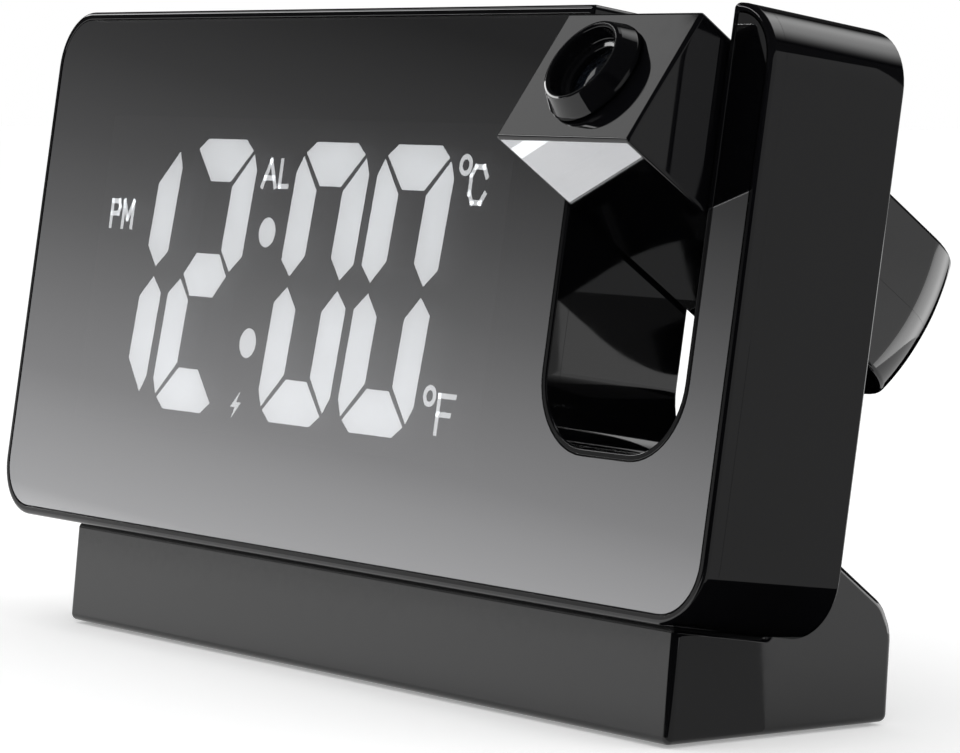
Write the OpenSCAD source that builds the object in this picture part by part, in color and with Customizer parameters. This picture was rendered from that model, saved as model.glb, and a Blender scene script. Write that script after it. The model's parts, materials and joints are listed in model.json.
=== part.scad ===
// Projection alarm clock: a leaning mirror-faced clock on a low stand, with a
// projector arm that swings in a slot at its right-hand end.
// Millimetres, +Z up, the clock faces -Y. The origin is on the table, under the
// middle of the whole clock. The arm is drawn turned forward.

/* [Body] */
// Width of the clock body
body_w = 186; // [170:0.5:200]
// Height of the body along its leaning front
body_h = 83.2; // [80:0.1:90]
// Thickness of the body, front to back
body_d = 23.2; // [22.8:0.1:26]
// Radius of the body's four corners, seen from the front
body_r = 9; // [7:0.5:9]
// Angle that the body leans back from upright
lean = 9; // [5:0.5:12]
// Height of the front's lower edge above the stand's lower edge
body_lift = 17.4; // [17:0.1:20]
// Wall thickness of the body housing
shell_wall = 2; // [1.6:0.1:2.2]

/* [Front] */
// Thickness of the front frame
bezel_t = 2.4; // [2.2:0.1:2.8]
// Thickness of the mirror panel
mirror_t = 1.5; // [1.2:0.1:1.6]
// Width of the frame's rim round the mirror
rim_w = 1.3; // [1:0.1:1.8]
// Width of the rim round the slot
slot_rim = 0.9; // [0.7:0.1:1.2]

/* [Slot] */
// Width of the slot that the arm swings in
slot_w = 30.7; // [30:0.1:32]
// Width of the column to the right of the slot
column_w = 9.5; // [9.5:0.1:11]
// Depth of the slot below the body's top
slot_depth = 61.3; // [61:0.1:63]
// Radius of the slot's lower corners
slot_r = 10.3; // [9:0.1:12]

/* [Projector arm] */
// Clearance between the arm and each side of the slot
arm_gap = 0.55; // [0.4:0.05:0.8]
// Thickness of the arm
arm_t = 21.1; // [20:0.1:21.5]
// Distance of the pivot below the body's top
pivot_drop = 22.8; // [22:0.1:23.5]
// Distance of the pivot behind the body's front
pivot_back = 12.4; // [12:0.1:12.8]
// Length from the pivot to the arm's lens face
arm_head = 24.7; // [24:0.1:26]
// Length from the pivot to the arm's tail, also the tail's round-off radius
arm_tail = 37.3; // [35:0.1:37.3]
// Radius of the tail's two corners
tail_r = 8.5; // [7:0.5:9]
// Forward turn of the arm from upright, as drawn
arm_turn = 62.6; // [40:0.1:85]
// Wall thickness of the arm's shells
arm_wall = 1.8; // [1.6:0.1:2]

/* [Arm pivots] */
// Outer diameter of the hollow left stub
left_stub_d = 9; // [8.6:0.1:9.2]
// Bore of the left stub, for the cable
left_stub_bore = 5; // [4.6:0.1:5.2]
// Outer diameter of the right stub
right_stub_d = 6; // [5:0.1:6.4]
// Outer diameter of the left bush
left_bush_d = 11; // [10.8:0.1:11.2]
// Outer diameter of the right bush
right_bush_d = 8; // [7.8:0.1:8.2]
// Radial clearance of each stub in its bush
pivot_fit = 0.04; // [0.02:0.01:0.08]

/* [Focus ring] */
// Radius of the ring's foot, next to the lens face
ring_foot_r = 8; // [7.4:0.1:8.2]
// Radius of the ring's front rim
ring_rim_r = 6.5; // [6.3:0.1:6.8]
// Height of the ring above the lens face
ring_proud = 3.2; // [3:0.1:3.6]
// Radius of the ring's sleeve, inside the lens tube
sleeve_r = 5.45; // [5.3:0.05:5.5]
// Radius of the front lens
lens_r = 4.6; // [4.2:0.1:4.7]

/* [Stand] */
// Width of the stand
stand_w = 159; // [150:0.5:165]
// Distance of the stand's front foot behind the body's lower front edge
stand_inset = 5.5; // [4:0.1:7]
// Depth of the stand at the table
stand_d = 39.3; // [38:0.1:42]
// Backward slope of the stand's front face
stand_slope = 5.7; // [3:0.1:8]
// Height of the cradle up the body's back
cradle_h = 17.3; // [14:0.1:18]
// Height of the stand's back face, below its sloping top
stand_back_h = 15; // [13:0.1:16]
// Wall thickness of the stand
stand_wall = 2; // [1.6:0.1:2.2]
// Thickness of the stand's floor plate
floor_t = 2.6; // [2.4:0.1:3]
// Height of the feet below the stand
foot_proud = 0.5; // [0.4:0.1:1]
// Radius of each rubber foot
foot_r = 4; // [3:0.5:4.5]

/* [Battery bay] */
// Length of the bay, for two AAA cells end to end
bay_l = 95; // [94:0.5:97]
// Depth of the bay, front to back
bay_d = 11.4; // [11:0.1:11.8]
// Height of the bay above the floor plate's underside
bay_h = 12.4; // [12.2:0.1:12.6]
// Width of the sliding door
door_w = 97; // [96.5:0.1:99]
// Clearance round the door
door_gap = 0.3; // [0.25:0.05:0.4]

/* [Display] */
// Height of the digits
digit_h = 43; // [40:0.5:44]
// Width of a digit, as a share of the display window
digit_share = 0.1684; // [0.16:0.001:0.17]
// Width of a segment
stroke = 6.3; // [5.5:0.1:6.5]
// Sideways lean of the digits, as a fraction of height
slant = 0.075; // [0:0.005:0.1]
// Distance between neighbouring digits, as a share of the display window
digit_pitch_share = 0.1868; // [0.184:0.001:0.188]
// Distance between the two digits beside the colon, as a share of the display window
colon_pitch_share = 0.2641; // [0.256:0.001:0.265]
// Left edge of the first digit at its foot, as a share of the display window
first_digit_share = 0.0272; // [0.025:0.001:0.03]
// Height of the digits' feet above the body's lower edge
digit_foot = 20; // [19:0.1:21]
// Radius of the colon's dots
colon_r = 2.3; // [2:0.1:2.5]

/* [Controls] */
// Length of the snooze bar
snooze_l = 56; // [40:1:60]
// Depth of the snooze bar
snooze_d = 9; // [8:0.5:10]
// Height of the snooze bar above the top
snooze_proud = 0.9; // [0.8:0.1:1.2]
// Travel of the snooze bar
snooze_travel = 0.8; // [0.6:0.1:0.8]
// Diameter of the five round rear buttons
button_d = 6.6; // [6:0.1:7]
// Distance between the rear buttons
button_pitch = 13; // [12:0.5:14]
// Distance of the rear buttons' row below the body's top
button_drop = 20.2; // [20:0.1:24]
// Height of the rear buttons above the back
button_proud = 1; // [0.8:0.1:1.4]
// Travel of the rear buttons
button_travel = 0.6; // [0.4:0.1:0.6]
// Clearance round every button
button_gap = 0.3; // [0.25:0.05:0.4]

/* [Hidden] */
$fn = 48;

eps = 0.01;
past = 1;

// Colours
gloss_black = "#0c0c0d";
satin_black = "#1a1a1b";
mirror_grey = "#2b2c2e";
lit_white = "#f4f6f8";
board_green = "#1f5a34";
steel = "#b9bcc0";
brass_tone = "#c9a555";
rubber_black = "#222222";

// Slot edges and arm centre
slot_right = body_w / 2 - column_w;
slot_left = slot_right - slot_w;
slot_foot = body_h - slot_depth;
arm_x = (slot_left + slot_right) / 2;
arm_w = slot_w - 2 * arm_gap;
pivot_h = body_h - pivot_drop;

// Room inside the body
cavity_back = body_d - 2.2;
boss_front = 16.2;
post_r = 2.8;
boss_r = 3.9;
screw_r = 1.1;
screw_bore = 1.15;
screw_head_r = 2.3;
screw_head_t = 1.7;
post_in = 6.6;
mid_post_x = 28;
post_places = [
    [-body_w / 2 + post_in, post_in], [-body_w / 2 + post_in, body_h - post_in],
    [slot_left - post_in, body_h - post_in], [body_w / 2 - post_in, post_in],
    [-mid_post_x, post_in], [mid_post_x, post_in]
];
head_seat = body_d - 2.6;
shell_screw_l = 12;
// Hole through the body's floor and the cradle for the battery wires
wire_x = 22;
wire_back = 8;
wire_hole_w = 10;
wire_hole_d = 5;

// Place of the body in the world
axis_rise = 90 - arm_turn + lean;
ring_gap = 0.3;
ring_top = arm_head + ring_gap + ring_proud;
pivot_y = pivot_back * cos(lean) + pivot_h * sin(lean);
reach_front = ring_top * cos(axis_rise) + ring_rim_r * sin(axis_rise);
reach_back = arm_tail * cos(axis_rise - asin(arm_t / 2 / arm_tail));
body_y = -pivot_y + (reach_front - reach_back) / 2;
body_z = foot_proud + body_lift;

// Stand outline, front to back, in the world
stand_y = body_y + stand_inset;
stand_back_y = stand_y + stand_d;
front_top_z = (body_lift - stand_inset * tan(lean)) / (1 + tan(stand_slope) * tan(lean));
front_top_y = front_top_z * tan(stand_slope);
cradle_foot = [body_d * cos(lean), body_lift - body_d * sin(lean)];
cradle_top = cradle_foot + cradle_h * [sin(lean), cos(lean)];

// Display windows and boards, depths behind the body's front. The light frame reaches
// through the front frame's window, so that it stands close behind the mirror
frame_front = mirror_t + 0.1;
frame_back = 8.4;
display_board_t = 1.2;
main_board_front = 14;
main_board_t = 1.6;
main_board_back = main_board_front + main_board_t;
frame_left = -body_w / 2 + 15;
frame_right = slot_left - 13.8;
frame_foot = 14.5;
frame_top = body_h - 14.2;
display_w = frame_right - frame_left;
digit_w = digit_share * display_w;
digit_pitch = digit_pitch_share * display_w;
colon_pitch = colon_pitch_share * display_w;
first_digit_x = frame_left + first_digit_share * display_w;
window_margin = 2.5;
standoff_r = 2;
standoff_places = [
    [frame_left + standoff_r, frame_foot + standoff_r],
    [frame_left + standoff_r, frame_top - standoff_r],
    [frame_right - standoff_r, frame_foot + standoff_r],
    [frame_right - standoff_r, frame_top - standoff_r]
];

// Controls
snooze_x = -20;
snooze_back = 7.5;
snooze_mid_back = snooze_back + snooze_d / 2;
flange_t = 1;
flange_w = 1.2;
button_row = body_h - button_drop;
first_button_x = -58;
button_flange_back = cavity_back - button_gap;
switch_w = 6;
switch_tip_t = 0.6;
// Distance left between a switch's tip and its button when that is pressed
press_gap = 0.4;
rear_switch_t = button_flange_back - flange_t - button_travel - press_gap - switch_tip_t
    - main_board_back;
snooze_flange_top = body_h - shell_wall - button_gap;
snooze_switch_d = 3.6;
snooze_switch_h = 4.4;
snooze_switch_top = frame_top + 0.9;
snooze_stem_foot = snooze_switch_top + switch_tip_t + snooze_travel + press_gap;
usb_x = 20;
usb_h = 26;
usb_w = 9;
usb_high = 3.3;
speaker_x = 12;
speaker_h = 44;
speaker_r = 10;
speaker_t = 4.2;

// Door and bay, in the world
bay_wall = 1.2;
bay_to_back = 2.6;
bay_y = stand_back_y - stand_wall - bay_to_back - bay_d;
door_t = 1.4;
tongue_w = 1.3;
tongue_t = 0.6;
tongue_z = foot_proud + 0.8;
door_front_y = bay_y - 1;
finger_w = 14;
finger_groove = 1.1;

// Moves children into the leaning body: X across, Y backwards, Z up the front
module on_body() {
    translate([0, body_y, body_z])
        rotate([-lean, 0, 0])
            children();
}

// Moves children into the arm: the origin is its pivot, +Z points to the lens
module on_arm() {
    on_body()
        translate([arm_x, pivot_back, pivot_h])
            rotate([arm_turn, 0, 0])
                children();
}

// Extrudes a front-view outline from depth d0 to depth d1
module slab(d0, d1) {
    translate([0, d1, 0])
        rotate([90, 0, 0])
            linear_extrude(d1 - d0)
                children();
}

// Round bar along X
module bar_x(x0, x1, r) {
    translate([x0, 0, 0])
        rotate([0, 90, 0])
            cylinder(h = x1 - x0, r = r);
}

// Round bar along the depth, at a front-view place
module bar_d(place, d0, d1, r) {
    translate([place[0], d1, place[1]])
        rotate([90, 0, 0])
            cylinder(h = d1 - d0, r = r);
}

// Box between two corners
module block(a, b) {
    translate(a)
        cube(b - a);
}

// Rectangle with round corners, centred in X, standing on Y = 0
module rounded(w, h, r) {
    translate([-w / 2 + r, 0])
        square([w - 2 * r, h]);
    translate([-w / 2, r])
        square([w, h - 2 * r]);
    for (x = [-w / 2 + r, w / 2 - r], y = [r, h - r])
        translate([x, y])
            circle(r);
}

// Front outline of the body, drawn in by some distance
module body_outline(inset) {
    translate([0, inset])
        rounded(body_w - 2 * inset, body_h - 2 * inset, body_r - inset);
}

// The slot, open at the top, grown by some distance
module slot_outline(grow) {
    r = slot_r + grow;
    left = slot_left - grow;
    foot = slot_foot - grow;
    w = slot_w + 2 * grow;
    translate([left, foot + r])
        square([w, body_h - foot]);
    translate([left + r, foot])
        square([w - 2 * r, r + eps]);
    for (x = [left + r, left + w - r])
        translate([x, foot + r])
            circle(r);
}

// One screw along +Z: shank below, pan head above
module screw(shank_l) {
    translate([0, 0, -shank_l])
        cylinder(h = shank_l + eps, r = screw_r);
    cylinder(h = screw_head_t, r = screw_head_r);
}

// Screw put in from the back of the body
module screw_from_back(place, seat, shank_l) {
    translate([place[0], seat, place[1]])
        rotate([-90, 0, 0])
            screw(shank_l);
}

// ---------------------------------------------------------------- stand

// Side outline of the stand as Y and Z, drawn in by some distance and down past its foot
module stand_side(t, below = 0) {
    polygon([
        [stand_inset + t, -below],
        [stand_inset + t + front_top_y, front_top_z - t],
        [cradle_foot[0] + t, cradle_foot[1] - t],
        [cradle_top[0] + t, cradle_top[1] - 1.7 * t],
        [stand_inset + stand_d - 0.9 - t, stand_back_h + 1.6 - 1.3 * t],
        [stand_inset + stand_d + 0.3 - t, stand_back_h - 1.2 - t],
        [stand_inset + stand_d + 0.7 - t, stand_back_h - 3],
        [stand_inset + stand_d - t, -below]
    ]);
}

// Extrudes the side outline across the stand
module across(w) {
    translate([-w / 2, body_y, foot_proud])
        rotate([90, 0, 90])
            linear_extrude(w)
                children();
}

floor_post_in = 7;
floor_post_places = [
    for (x = [-stand_w / 2 + floor_post_in, stand_w / 2 - floor_post_in],
         y = [stand_y + floor_post_in + 1, stand_back_y - floor_post_in])
        [x, y]
];
floor_top = foot_proud + floor_t;
floor_seat = foot_proud + screw_head_t + 0.2;
floor_post_top = foot_proud + 9;
floor_screw_l = 7;
web_t = 1.5;
stand_screw_places = [-50, 0, 42];
stand_screw_back = 12;
stand_screw_l = 7;
stand_boss_h = 5;

module stand_shell() {
    color(gloss_black)
        difference() {
            union() {
                difference() {
                    across(stand_w) stand_side(0);
                    across(stand_w - 2 * stand_wall) stand_side(stand_wall, past);
                }
                for (p = floor_post_places)
                    translate([p[0], p[1], floor_top])
                        cylinder(h = floor_post_top - floor_top, r = post_r);
                // webs that tie the posts to the end walls
                for (p = floor_post_places)
                    block([p[0] < 0 ? -stand_w / 2 + 1 : p[0], p[1] - web_t / 2, floor_top],
                          [p[0] < 0 ? p[0] : stand_w / 2 - 1, p[1] + web_t / 2, floor_post_top]);
            }
            for (p = floor_post_places)
                translate([p[0], p[1], floor_top - past])
                    cylinder(h = floor_screw_l + past, r = screw_bore);
            // holes for the screws that hold the body
            on_body()
                for (x = stand_screw_places)
                    translate([x, stand_screw_back, -stand_wall - past])
                        cylinder(h = stand_wall + 2 * past, r = screw_r + 0.3);
            // passage for the battery wires
            on_body()
                wire_hole(-stand_wall, 0);
            // notch in the back wall that the battery door slides out through
            block([-door_w / 2 - tongue_w - door_gap, stand_back_y - stand_wall - past, -past],
                  [door_w / 2 + tongue_w + door_gap, stand_back_y + 2 * past,
                   foot_proud + door_t + door_gap]);
        }
}

// Hole for the battery wires between two heights of the leaning body
module wire_hole(h0, h1) {
    block([wire_x, wire_back, h0 - past],
          [wire_x + wire_hole_w, wire_back + wire_hole_d, h1 + past]);
}

module floor_plate() {
    edge_gap = 0.15;
    x = stand_w / 2 - stand_wall - edge_gap;
    y0 = stand_y + stand_wall + edge_gap + 0.3;
    y1 = stand_back_y - stand_wall - edge_gap;
    lip_x = door_w / 2 + door_gap;
    groove_x = lip_x + tongue_w;
    groove_top = foot_proud + door_t + door_gap;
    bay_x = bay_l / 2;
    bay_top = foot_proud + bay_h;
    color(satin_black)
        difference() {
            union() {
                block([-x, y0, foot_proud], [x, y1, floor_top]);
                // walls and roof of the battery bay
                block([-bay_x - bay_wall, bay_y - bay_wall, foot_proud],
                      [bay_x + bay_wall, bay_y + bay_d + bay_wall, bay_top + bay_wall]);
            }
            block([-bay_x, bay_y, -past], [bay_x, bay_y + bay_d, bay_top]);
            // door opening with its two grooves
            block([-lip_x, door_front_y - door_gap, -past], [lip_x, y1 + past, groove_top]);
            block([-groove_x, door_front_y - door_gap, tongue_z - 0.1],
                  [groove_x, y1 + past, groove_top]);
            for (p = floor_post_places) {
                translate([p[0], p[1], -past])
                    cylinder(h = floor_top + 2 * past, r = screw_r + 0.3);
                translate([p[0], p[1], -past])
                    cylinder(h = floor_seat + past, r = screw_head_r + 0.3);
            }
        }
}

module battery_door() {
    color(satin_black) {
        difference() {
            block([-door_w / 2, door_front_y, foot_proud],
                  [door_w / 2, stand_back_y - 0.1, foot_proud + door_t]);
            // three finger grooves near the back edge
            for (i = [0:2])
                translate([-finger_w / 2, stand_back_y - 9 + 2 * finger_groove * i, -past])
                    cube([finger_w, finger_groove, past + foot_proud + 0.5]);
        }
        // tongues that slide in the floor plate's grooves
        for (s = [0, 1])
            mirror([s, 0, 0])
                block([door_w / 2 - tongue_w / 2, door_front_y, tongue_z],
                      [door_w / 2 + tongue_w - door_gap + 0.05, stand_back_y - stand_wall - 1,
                       tongue_z + tongue_t]);
    }
}

// Flat positive plate with its dimple at one end, folded negative spring at the other
module battery_contacts() {
    plate_t = 0.4;
    plate_w = 8.8;
    dimple_t = 0.6;
    blade_w = 5.2;
    blade_l = 7;
    blade_turn = 28;
    x_end = bay_l / 2;
    z0 = foot_proud + door_t + 1.2;
    z1 = foot_proud + bay_h - 0.2;
    color(steel)
        translate([0, bay_y + bay_d / 2, 0]) {
            for (x = [-x_end, x_end - plate_t])
                translate([x, -plate_w / 2, z0])
                    cube([plate_t, plate_w, z1 - z0]);
            translate([x_end - plate_t - dimple_t, 0, (z0 + z1) / 2])
                rotate([0, 90, 0])
                    cylinder(h = dimple_t + eps, r = 1.8);
            translate([-x_end, 0, z1 - plate_t])
                rotate([0, -blade_turn, 0])
                    translate([0, -blade_w / 2, -blade_l])
                        cube([plate_t, blade_w, blade_l]);
        }
}

foot_in_x = 20;
foot_in_y = 9;
foot_places = [
    for (x = [-stand_w / 2 + foot_in_x, stand_w / 2 - foot_in_x],
         y = [stand_y + foot_in_y, stand_back_y - foot_in_y])
        [x, y]
];

module rubber_feet() {
    color(rubber_black)
        for (p = foot_places)
            translate([p[0], p[1], 0])
                cylinder(h = foot_proud, r = foot_r);
}

module floor_screws() {
    color(steel)
        for (p = floor_post_places)
            translate([p[0], p[1], floor_seat])
                mirror([0, 0, 1])
                    screw(floor_screw_l);
}

// Screws up through the cradle into the body's floor
module stand_screws() {
    color(steel)
        on_body()
            for (x = stand_screw_places)
                translate([x, stand_screw_back, -stand_wall])
                    mirror([0, 0, 1])
                        screw(stand_screw_l);
}

// ---------------------------------------------------------------- body

module rear_shell() {
    color(gloss_black)
        on_body()
            difference() {
                union() {
                    difference() {
                        slab(bezel_t, body_d) body_outline(0);
                        slab(bezel_t - past, cavity_back)
                            difference() {
                                body_outline(shell_wall);
                                slot_outline(shell_wall);
                            }
                    }
                    for (p = post_places)
                        bar_d(p, boss_front, cavity_back + eps, boss_r);
                    // sockets of the two pivot bushes
                    translate([0, pivot_back, pivot_h]) {
                        bar_x(slot_left - 5, slot_left - 1, left_bush_d / 2 + 1.6);
                        bar_x(slot_right + 1, slot_right + 4, right_bush_d / 2 + 1.5);
                    }
                    // bosses for the stand's screws
                    for (x = stand_screw_places)
                        translate([x, stand_screw_back, shell_wall - eps])
                            cylinder(h = stand_boss_h, r = post_r);
                    // ring that the speaker sits in
                    bar_d([speaker_x, speaker_h], cavity_back - 2.5, cavity_back + eps,
                          speaker_r + 1.2);
                }
                slab(-past, body_d + past) slot_outline(0);
                for (p = post_places) {
                    bar_d(p, boss_front - past, body_d + past, screw_r + 0.3);
                    bar_d(p, head_seat - eps, body_d + past, screw_head_r + 0.3);
                }
                translate([0, pivot_back, pivot_h]) {
                    bar_x(slot_left - 5 - past, slot_left + past, left_bush_d / 2);
                    bar_x(slot_right - past, slot_right + 4 + past, right_bush_d / 2);
                }
                for (x = stand_screw_places)
                    translate([x, stand_screw_back, -past])
                        cylinder(h = stand_boss_h + 1 + past, r = screw_bore);
                // snooze opening in the top
                block([snooze_x - snooze_l / 2 - button_gap, snooze_back - button_gap,
                       body_h - shell_wall - past],
                      [snooze_x + snooze_l / 2 + button_gap, snooze_back + snooze_d + button_gap,
                       body_h + past]);
                for (i = [0:4])
                    bar_d(button_place(i), cavity_back - past, body_d + past,
                          button_d / 2 + button_gap);
                bar_d([speaker_x, speaker_h], cavity_back - 2.5 - past, cavity_back, speaker_r);
                speaker_holes();
                block([usb_x - usb_w / 2 - 0.3, cavity_back - past, usb_h - usb_high / 2 - 0.3],
                      [usb_x + usb_w / 2 + 0.3, body_d + past, usb_h + usb_high / 2 + 0.3]);
                // passage for the battery wires
                wire_hole(0, shell_wall);
            }
}

// One hole and two rings of holes over the speaker
module speaker_holes() {
    bar_d([speaker_x, speaker_h], cavity_back - past, body_d + past, 0.9);
    for (ring = [1, 2], i = [0:6 * ring - 1])
        bar_d([speaker_x + 3.4 * ring * cos(60 * i / ring),
               speaker_h + 3.4 * ring * sin(60 * i / ring)],
              cavity_back - past, body_d + past, 0.9);
}

module front_bezel() {
    lip_gap = 0.15;
    color(gloss_black)
        on_body()
            difference() {
                union() {
                    slab(0, bezel_t)
                        difference() {
                            body_outline(0);
                            slot_outline(0);
                        }
                    // lip that centres the bezel in the rear shell
                    slab(bezel_t - eps, bezel_t + 2)
                        difference() {
                            body_outline(shell_wall + lip_gap);
                            body_outline(shell_wall + lip_gap + 1);
                            slot_outline(shell_wall + lip_gap);
                        }
                    for (p = post_places)
                        bar_d(p, bezel_t - eps, boss_front, post_r);
                }
                slab(-past, mirror_t) mirror_outline(0);
                slab(mirror_t - past, bezel_t + 2 * past) display_area(window_margin);
                for (p = post_places)
                    bar_d(p, bezel_t + 2, boss_front + past, screw_bore);
            }
}

// Outline of the mirror panel, drawn in by some distance
module mirror_outline(inset) {
    difference() {
        body_outline(rim_w + inset);
        slot_outline(slot_rim + inset);
    }
}

module mirror_panel() {
    color(mirror_grey)
        on_body()
            slab(0, mirror_t) mirror_outline(0.08);
}

module shell_screws() {
    color(steel)
        on_body()
            for (p = post_places)
                screw_from_back(p, head_seat, shell_screw_l);
}

// ---------------------------------------------------------------- display

// Leans a point of a digit sideways and moves it onto the body's front
function digit_point(left, p) = [left + p[0] + slant * p[1], digit_foot + p[1]];

function digit_left(i) =
    first_digit_x + (i > 0 ? digit_pitch : 0) + (i > 1 ? colon_pitch : 0) + (i > 2 ? digit_pitch : 0);

// Half outline of the upper side segment, and of the top segment
upper_side = [
    [1.4, digit_h - 2.2], [0, digit_h - 4.7], [0, digit_h / 2 + 3.3],
    [3, digit_h / 2 + 0.8], [stroke, digit_h / 2 + 4.1], [stroke, digit_h - 7.4]
];
lower_side = [for (p = upper_side) [p[0], digit_h - p[1]]];
top_bar = [
    [1.9, digit_h - 1.7], [4.3, digit_h], [digit_w - 4.3, digit_h],
    [digit_w - 1.9, digit_h - 1.7], [digit_w - stroke - 0.7, digit_h - 6.7],
    [stroke + 0.7, digit_h - 6.7]
];
middle_bar = [
    [3.6, digit_h / 2], [stroke + 0.2, digit_h / 2 + 3.4],
    [digit_w - stroke - 0.2, digit_h / 2 + 3.4], [digit_w - 3.6, digit_h / 2],
    [digit_w - stroke - 0.2, digit_h / 2 - 3.4], [stroke + 0.2, digit_h / 2 - 3.4]
];

function flip_x(points) = [for (p = points) [digit_w - p[0], p[1]]];
function flip_h(points) = [for (p = points) [p[0], digit_h - p[1]]];

// The seven segments in the usual order, from a at the top to g in the middle
segments = [
    top_bar, flip_x(upper_side), flip_x(lower_side), flip_h(top_bar),
    lower_side, upper_side, middle_bar
];
// Segments in each digit: lit ones for 12:00, and the dark rest
lit = [[1, 2], [0, 1, 3, 4, 6], [0, 1, 2, 3, 4, 5], [0, 1, 2, 3, 4, 5]];
dark = [[], [2, 5], [6], [6]];

module segment(i, s) {
    polygon([for (p = segments[s]) digit_point(digit_left(i), p)]);
}

module colon() {
    mid = digit_left(2) - (colon_pitch - digit_w) / 2 + 0.3;
    for (v = [11.6, 28.8])
        translate([mid + slant * v, digit_foot + v])
            circle(colon_r);
}

// Light cells behind the indicators: left edge and width as shares of the display window,
// height above the digits' feet, and height of the cell
indicator_cells = [
    [0.041, 0.0744, 27.4, 6], [0.417, 0.0735, 35, 6], [0.862, 0.0718, 33.8, 8.6],
    [0.85, 0.0769, 0.6, 8.6], [0.412, 0.0359, -0.4, 5]
];

module indicator_outlines() {
    for (c = indicator_cells)
        translate([frame_left + c[0] * display_w, digit_foot + c[2]])
            square([c[1] * display_w, c[3]]);
}

// Front outline of the display frame, drawn in by some distance
module display_area(inset) {
    translate([frame_left + inset, frame_foot + inset])
        square([display_w - 2 * inset, frame_top - frame_foot - 2 * inset]);
}

module display_frame() {
    color(satin_black)
        on_body()
            difference() {
                union() {
                    slab(bezel_t, frame_back) display_area(0);
                    slab(frame_front, bezel_t + eps) display_area(window_margin + 0.2);
                    for (p = standoff_places)
                        bar_d(p, frame_back - eps, main_board_front, standoff_r);
                }
                slab(frame_front - past, frame_back + past) {
                    for (i = [0:3], s = concat(lit[i], dark[i]))
                        segment(i, s);
                    colon();
                    indicator_outlines();
                }
                for (p = standoff_places)
                    bar_d(p, frame_back, main_board_front + past, 0.8);
            }
}

diffuser_back = 7.9;

module lit_segments() {
    color(lit_white)
        on_body()
            slab(frame_front, diffuser_back) {
                for (i = [0:3], s = lit[i])
                    segment(i, s);
                colon();
            }
}

module dark_segments() {
    color("#303236")
        on_body()
            slab(frame_front, diffuser_back)
                for (i = [0:3], s = dark[i])
                    segment(i, s);
}

module indicator_lights() {
    color("#303236")
        on_body()
            slab(frame_front, diffuser_back) indicator_outlines();
}

module display_board() {
    color(board_green)
        on_body()
            slab(frame_back, frame_back + display_board_t)
                translate([frame_left + 2 * standoff_r + 0.3, frame_foot + 1])
                    square([display_w - 4 * standoff_r - 0.6, frame_top - frame_foot - 2]);
}

module main_board() {
    color(board_green)
        on_body()
            difference() {
                slab(main_board_front, main_board_back)
                    translate([frame_left, frame_foot - 2])
                        square([display_w, frame_top - frame_foot + 2]);
                for (p = standoff_places)
                    bar_d(p, main_board_front - past, main_board_back + past, screw_r + 0.2);
            }
}

// Clock chip, memory chip and wire connector: distance from the board's left and lower edges,
// width, height and thickness
chips = [[26, 25.5, 12, 12, 1.6], [48, 27.5, 8, 6, 1.4], [42, 13.5, 8, 3, 2.4]];
coin_cell = [16, 17.5];
coin_cell_r = 4;
coin_cell_t = 3;
header_l = 30;
header_h = 4;

// Chips and coin cell on the main board, and the header between the two boards
module board_parts() {
    board_foot = frame_foot - 2;
    color("#17181a")
        on_body() {
            for (c = chips)
                translate([frame_left + c[0], main_board_back, board_foot + c[1]])
                    cube([c[2], c[4], c[3]]);
            bar_d([frame_left + coin_cell[0], board_foot + coin_cell[1]],
                  main_board_back, main_board_back + coin_cell_t, coin_cell_r);
            block([frame_left + display_w / 2, frame_back + display_board_t, frame_foot + 3.5],
                  [frame_left + display_w / 2 + header_l, main_board_front,
                   frame_foot + 3.5 + header_h]);
        }
}

module board_screws() {
    color(steel)
        on_body()
            for (p = standoff_places)
                translate([p[0], main_board_back, p[1]])
                    rotate([-90, 0, 0])
                        small_screw(5, 0.75);
}

// Small screw along +Z: shank below, head above
module small_screw(shank_l, shank_r) {
    translate([0, 0, -shank_l])
        cylinder(h = shank_l + eps, r = shank_r);
    cylinder(h = 1.2, r = 1.7);
}

// ---------------------------------------------------------------- controls

function button_place(i) = [first_button_x + i * button_pitch, button_row];

// One rear button with its inner flange
module rear_button(i) {
    color(gloss_black)
        on_body() {
            bar_d(button_place(i), button_flange_back - eps, body_d + button_proud, button_d / 2);
            bar_d(button_place(i), button_flange_back - flange_t, button_flange_back,
                  button_d / 2 + flange_w);
        }
}

module mode_button() rear_button(0);
module alarm_button() rear_button(1);
module up_button() rear_button(2);
module down_button() rear_button(3);
module projection_button() rear_button(4);

module snooze_bar() {
    x0 = snooze_x - snooze_l / 2;
    x1 = snooze_x + snooze_l / 2;
    color(gloss_black)
        on_body() {
            block([x0, snooze_back, snooze_flange_top - eps],
                  [x1, snooze_back + snooze_d, body_h + snooze_proud]);
            block([x0 - flange_w, snooze_back - flange_w, snooze_flange_top - flange_t],
                  [x1 + flange_w, snooze_back + snooze_d + flange_w, snooze_flange_top]);
            translate([snooze_x, snooze_mid_back, snooze_stem_foot])
                cylinder(h = snooze_flange_top - snooze_stem_foot, r = 1.6);
        }
}

// Six switches: one under each rear button and one under the snooze bar
module button_switches() {
    color("#2a2a2c")
        on_body() {
            for (i = [0:4]) {
                p = button_place(i);
                switch_back = main_board_back + rear_switch_t;
                block([p[0] - switch_w / 2, main_board_back, p[1] - switch_w / 2],
                      [p[0] + switch_w / 2, switch_back, p[1] + switch_w / 2]);
                bar_d(p, switch_back - eps, switch_back + switch_tip_t, 1.7);
            }
            block([snooze_x - switch_w / 2, main_board_front - snooze_switch_d,
                   snooze_switch_top - snooze_switch_h],
                  [snooze_x + switch_w / 2, main_board_front, snooze_switch_top]);
            translate([snooze_x, snooze_mid_back, snooze_switch_top - eps])
                cylinder(h = switch_tip_t + eps, r = 1.4);
        }
}

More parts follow.
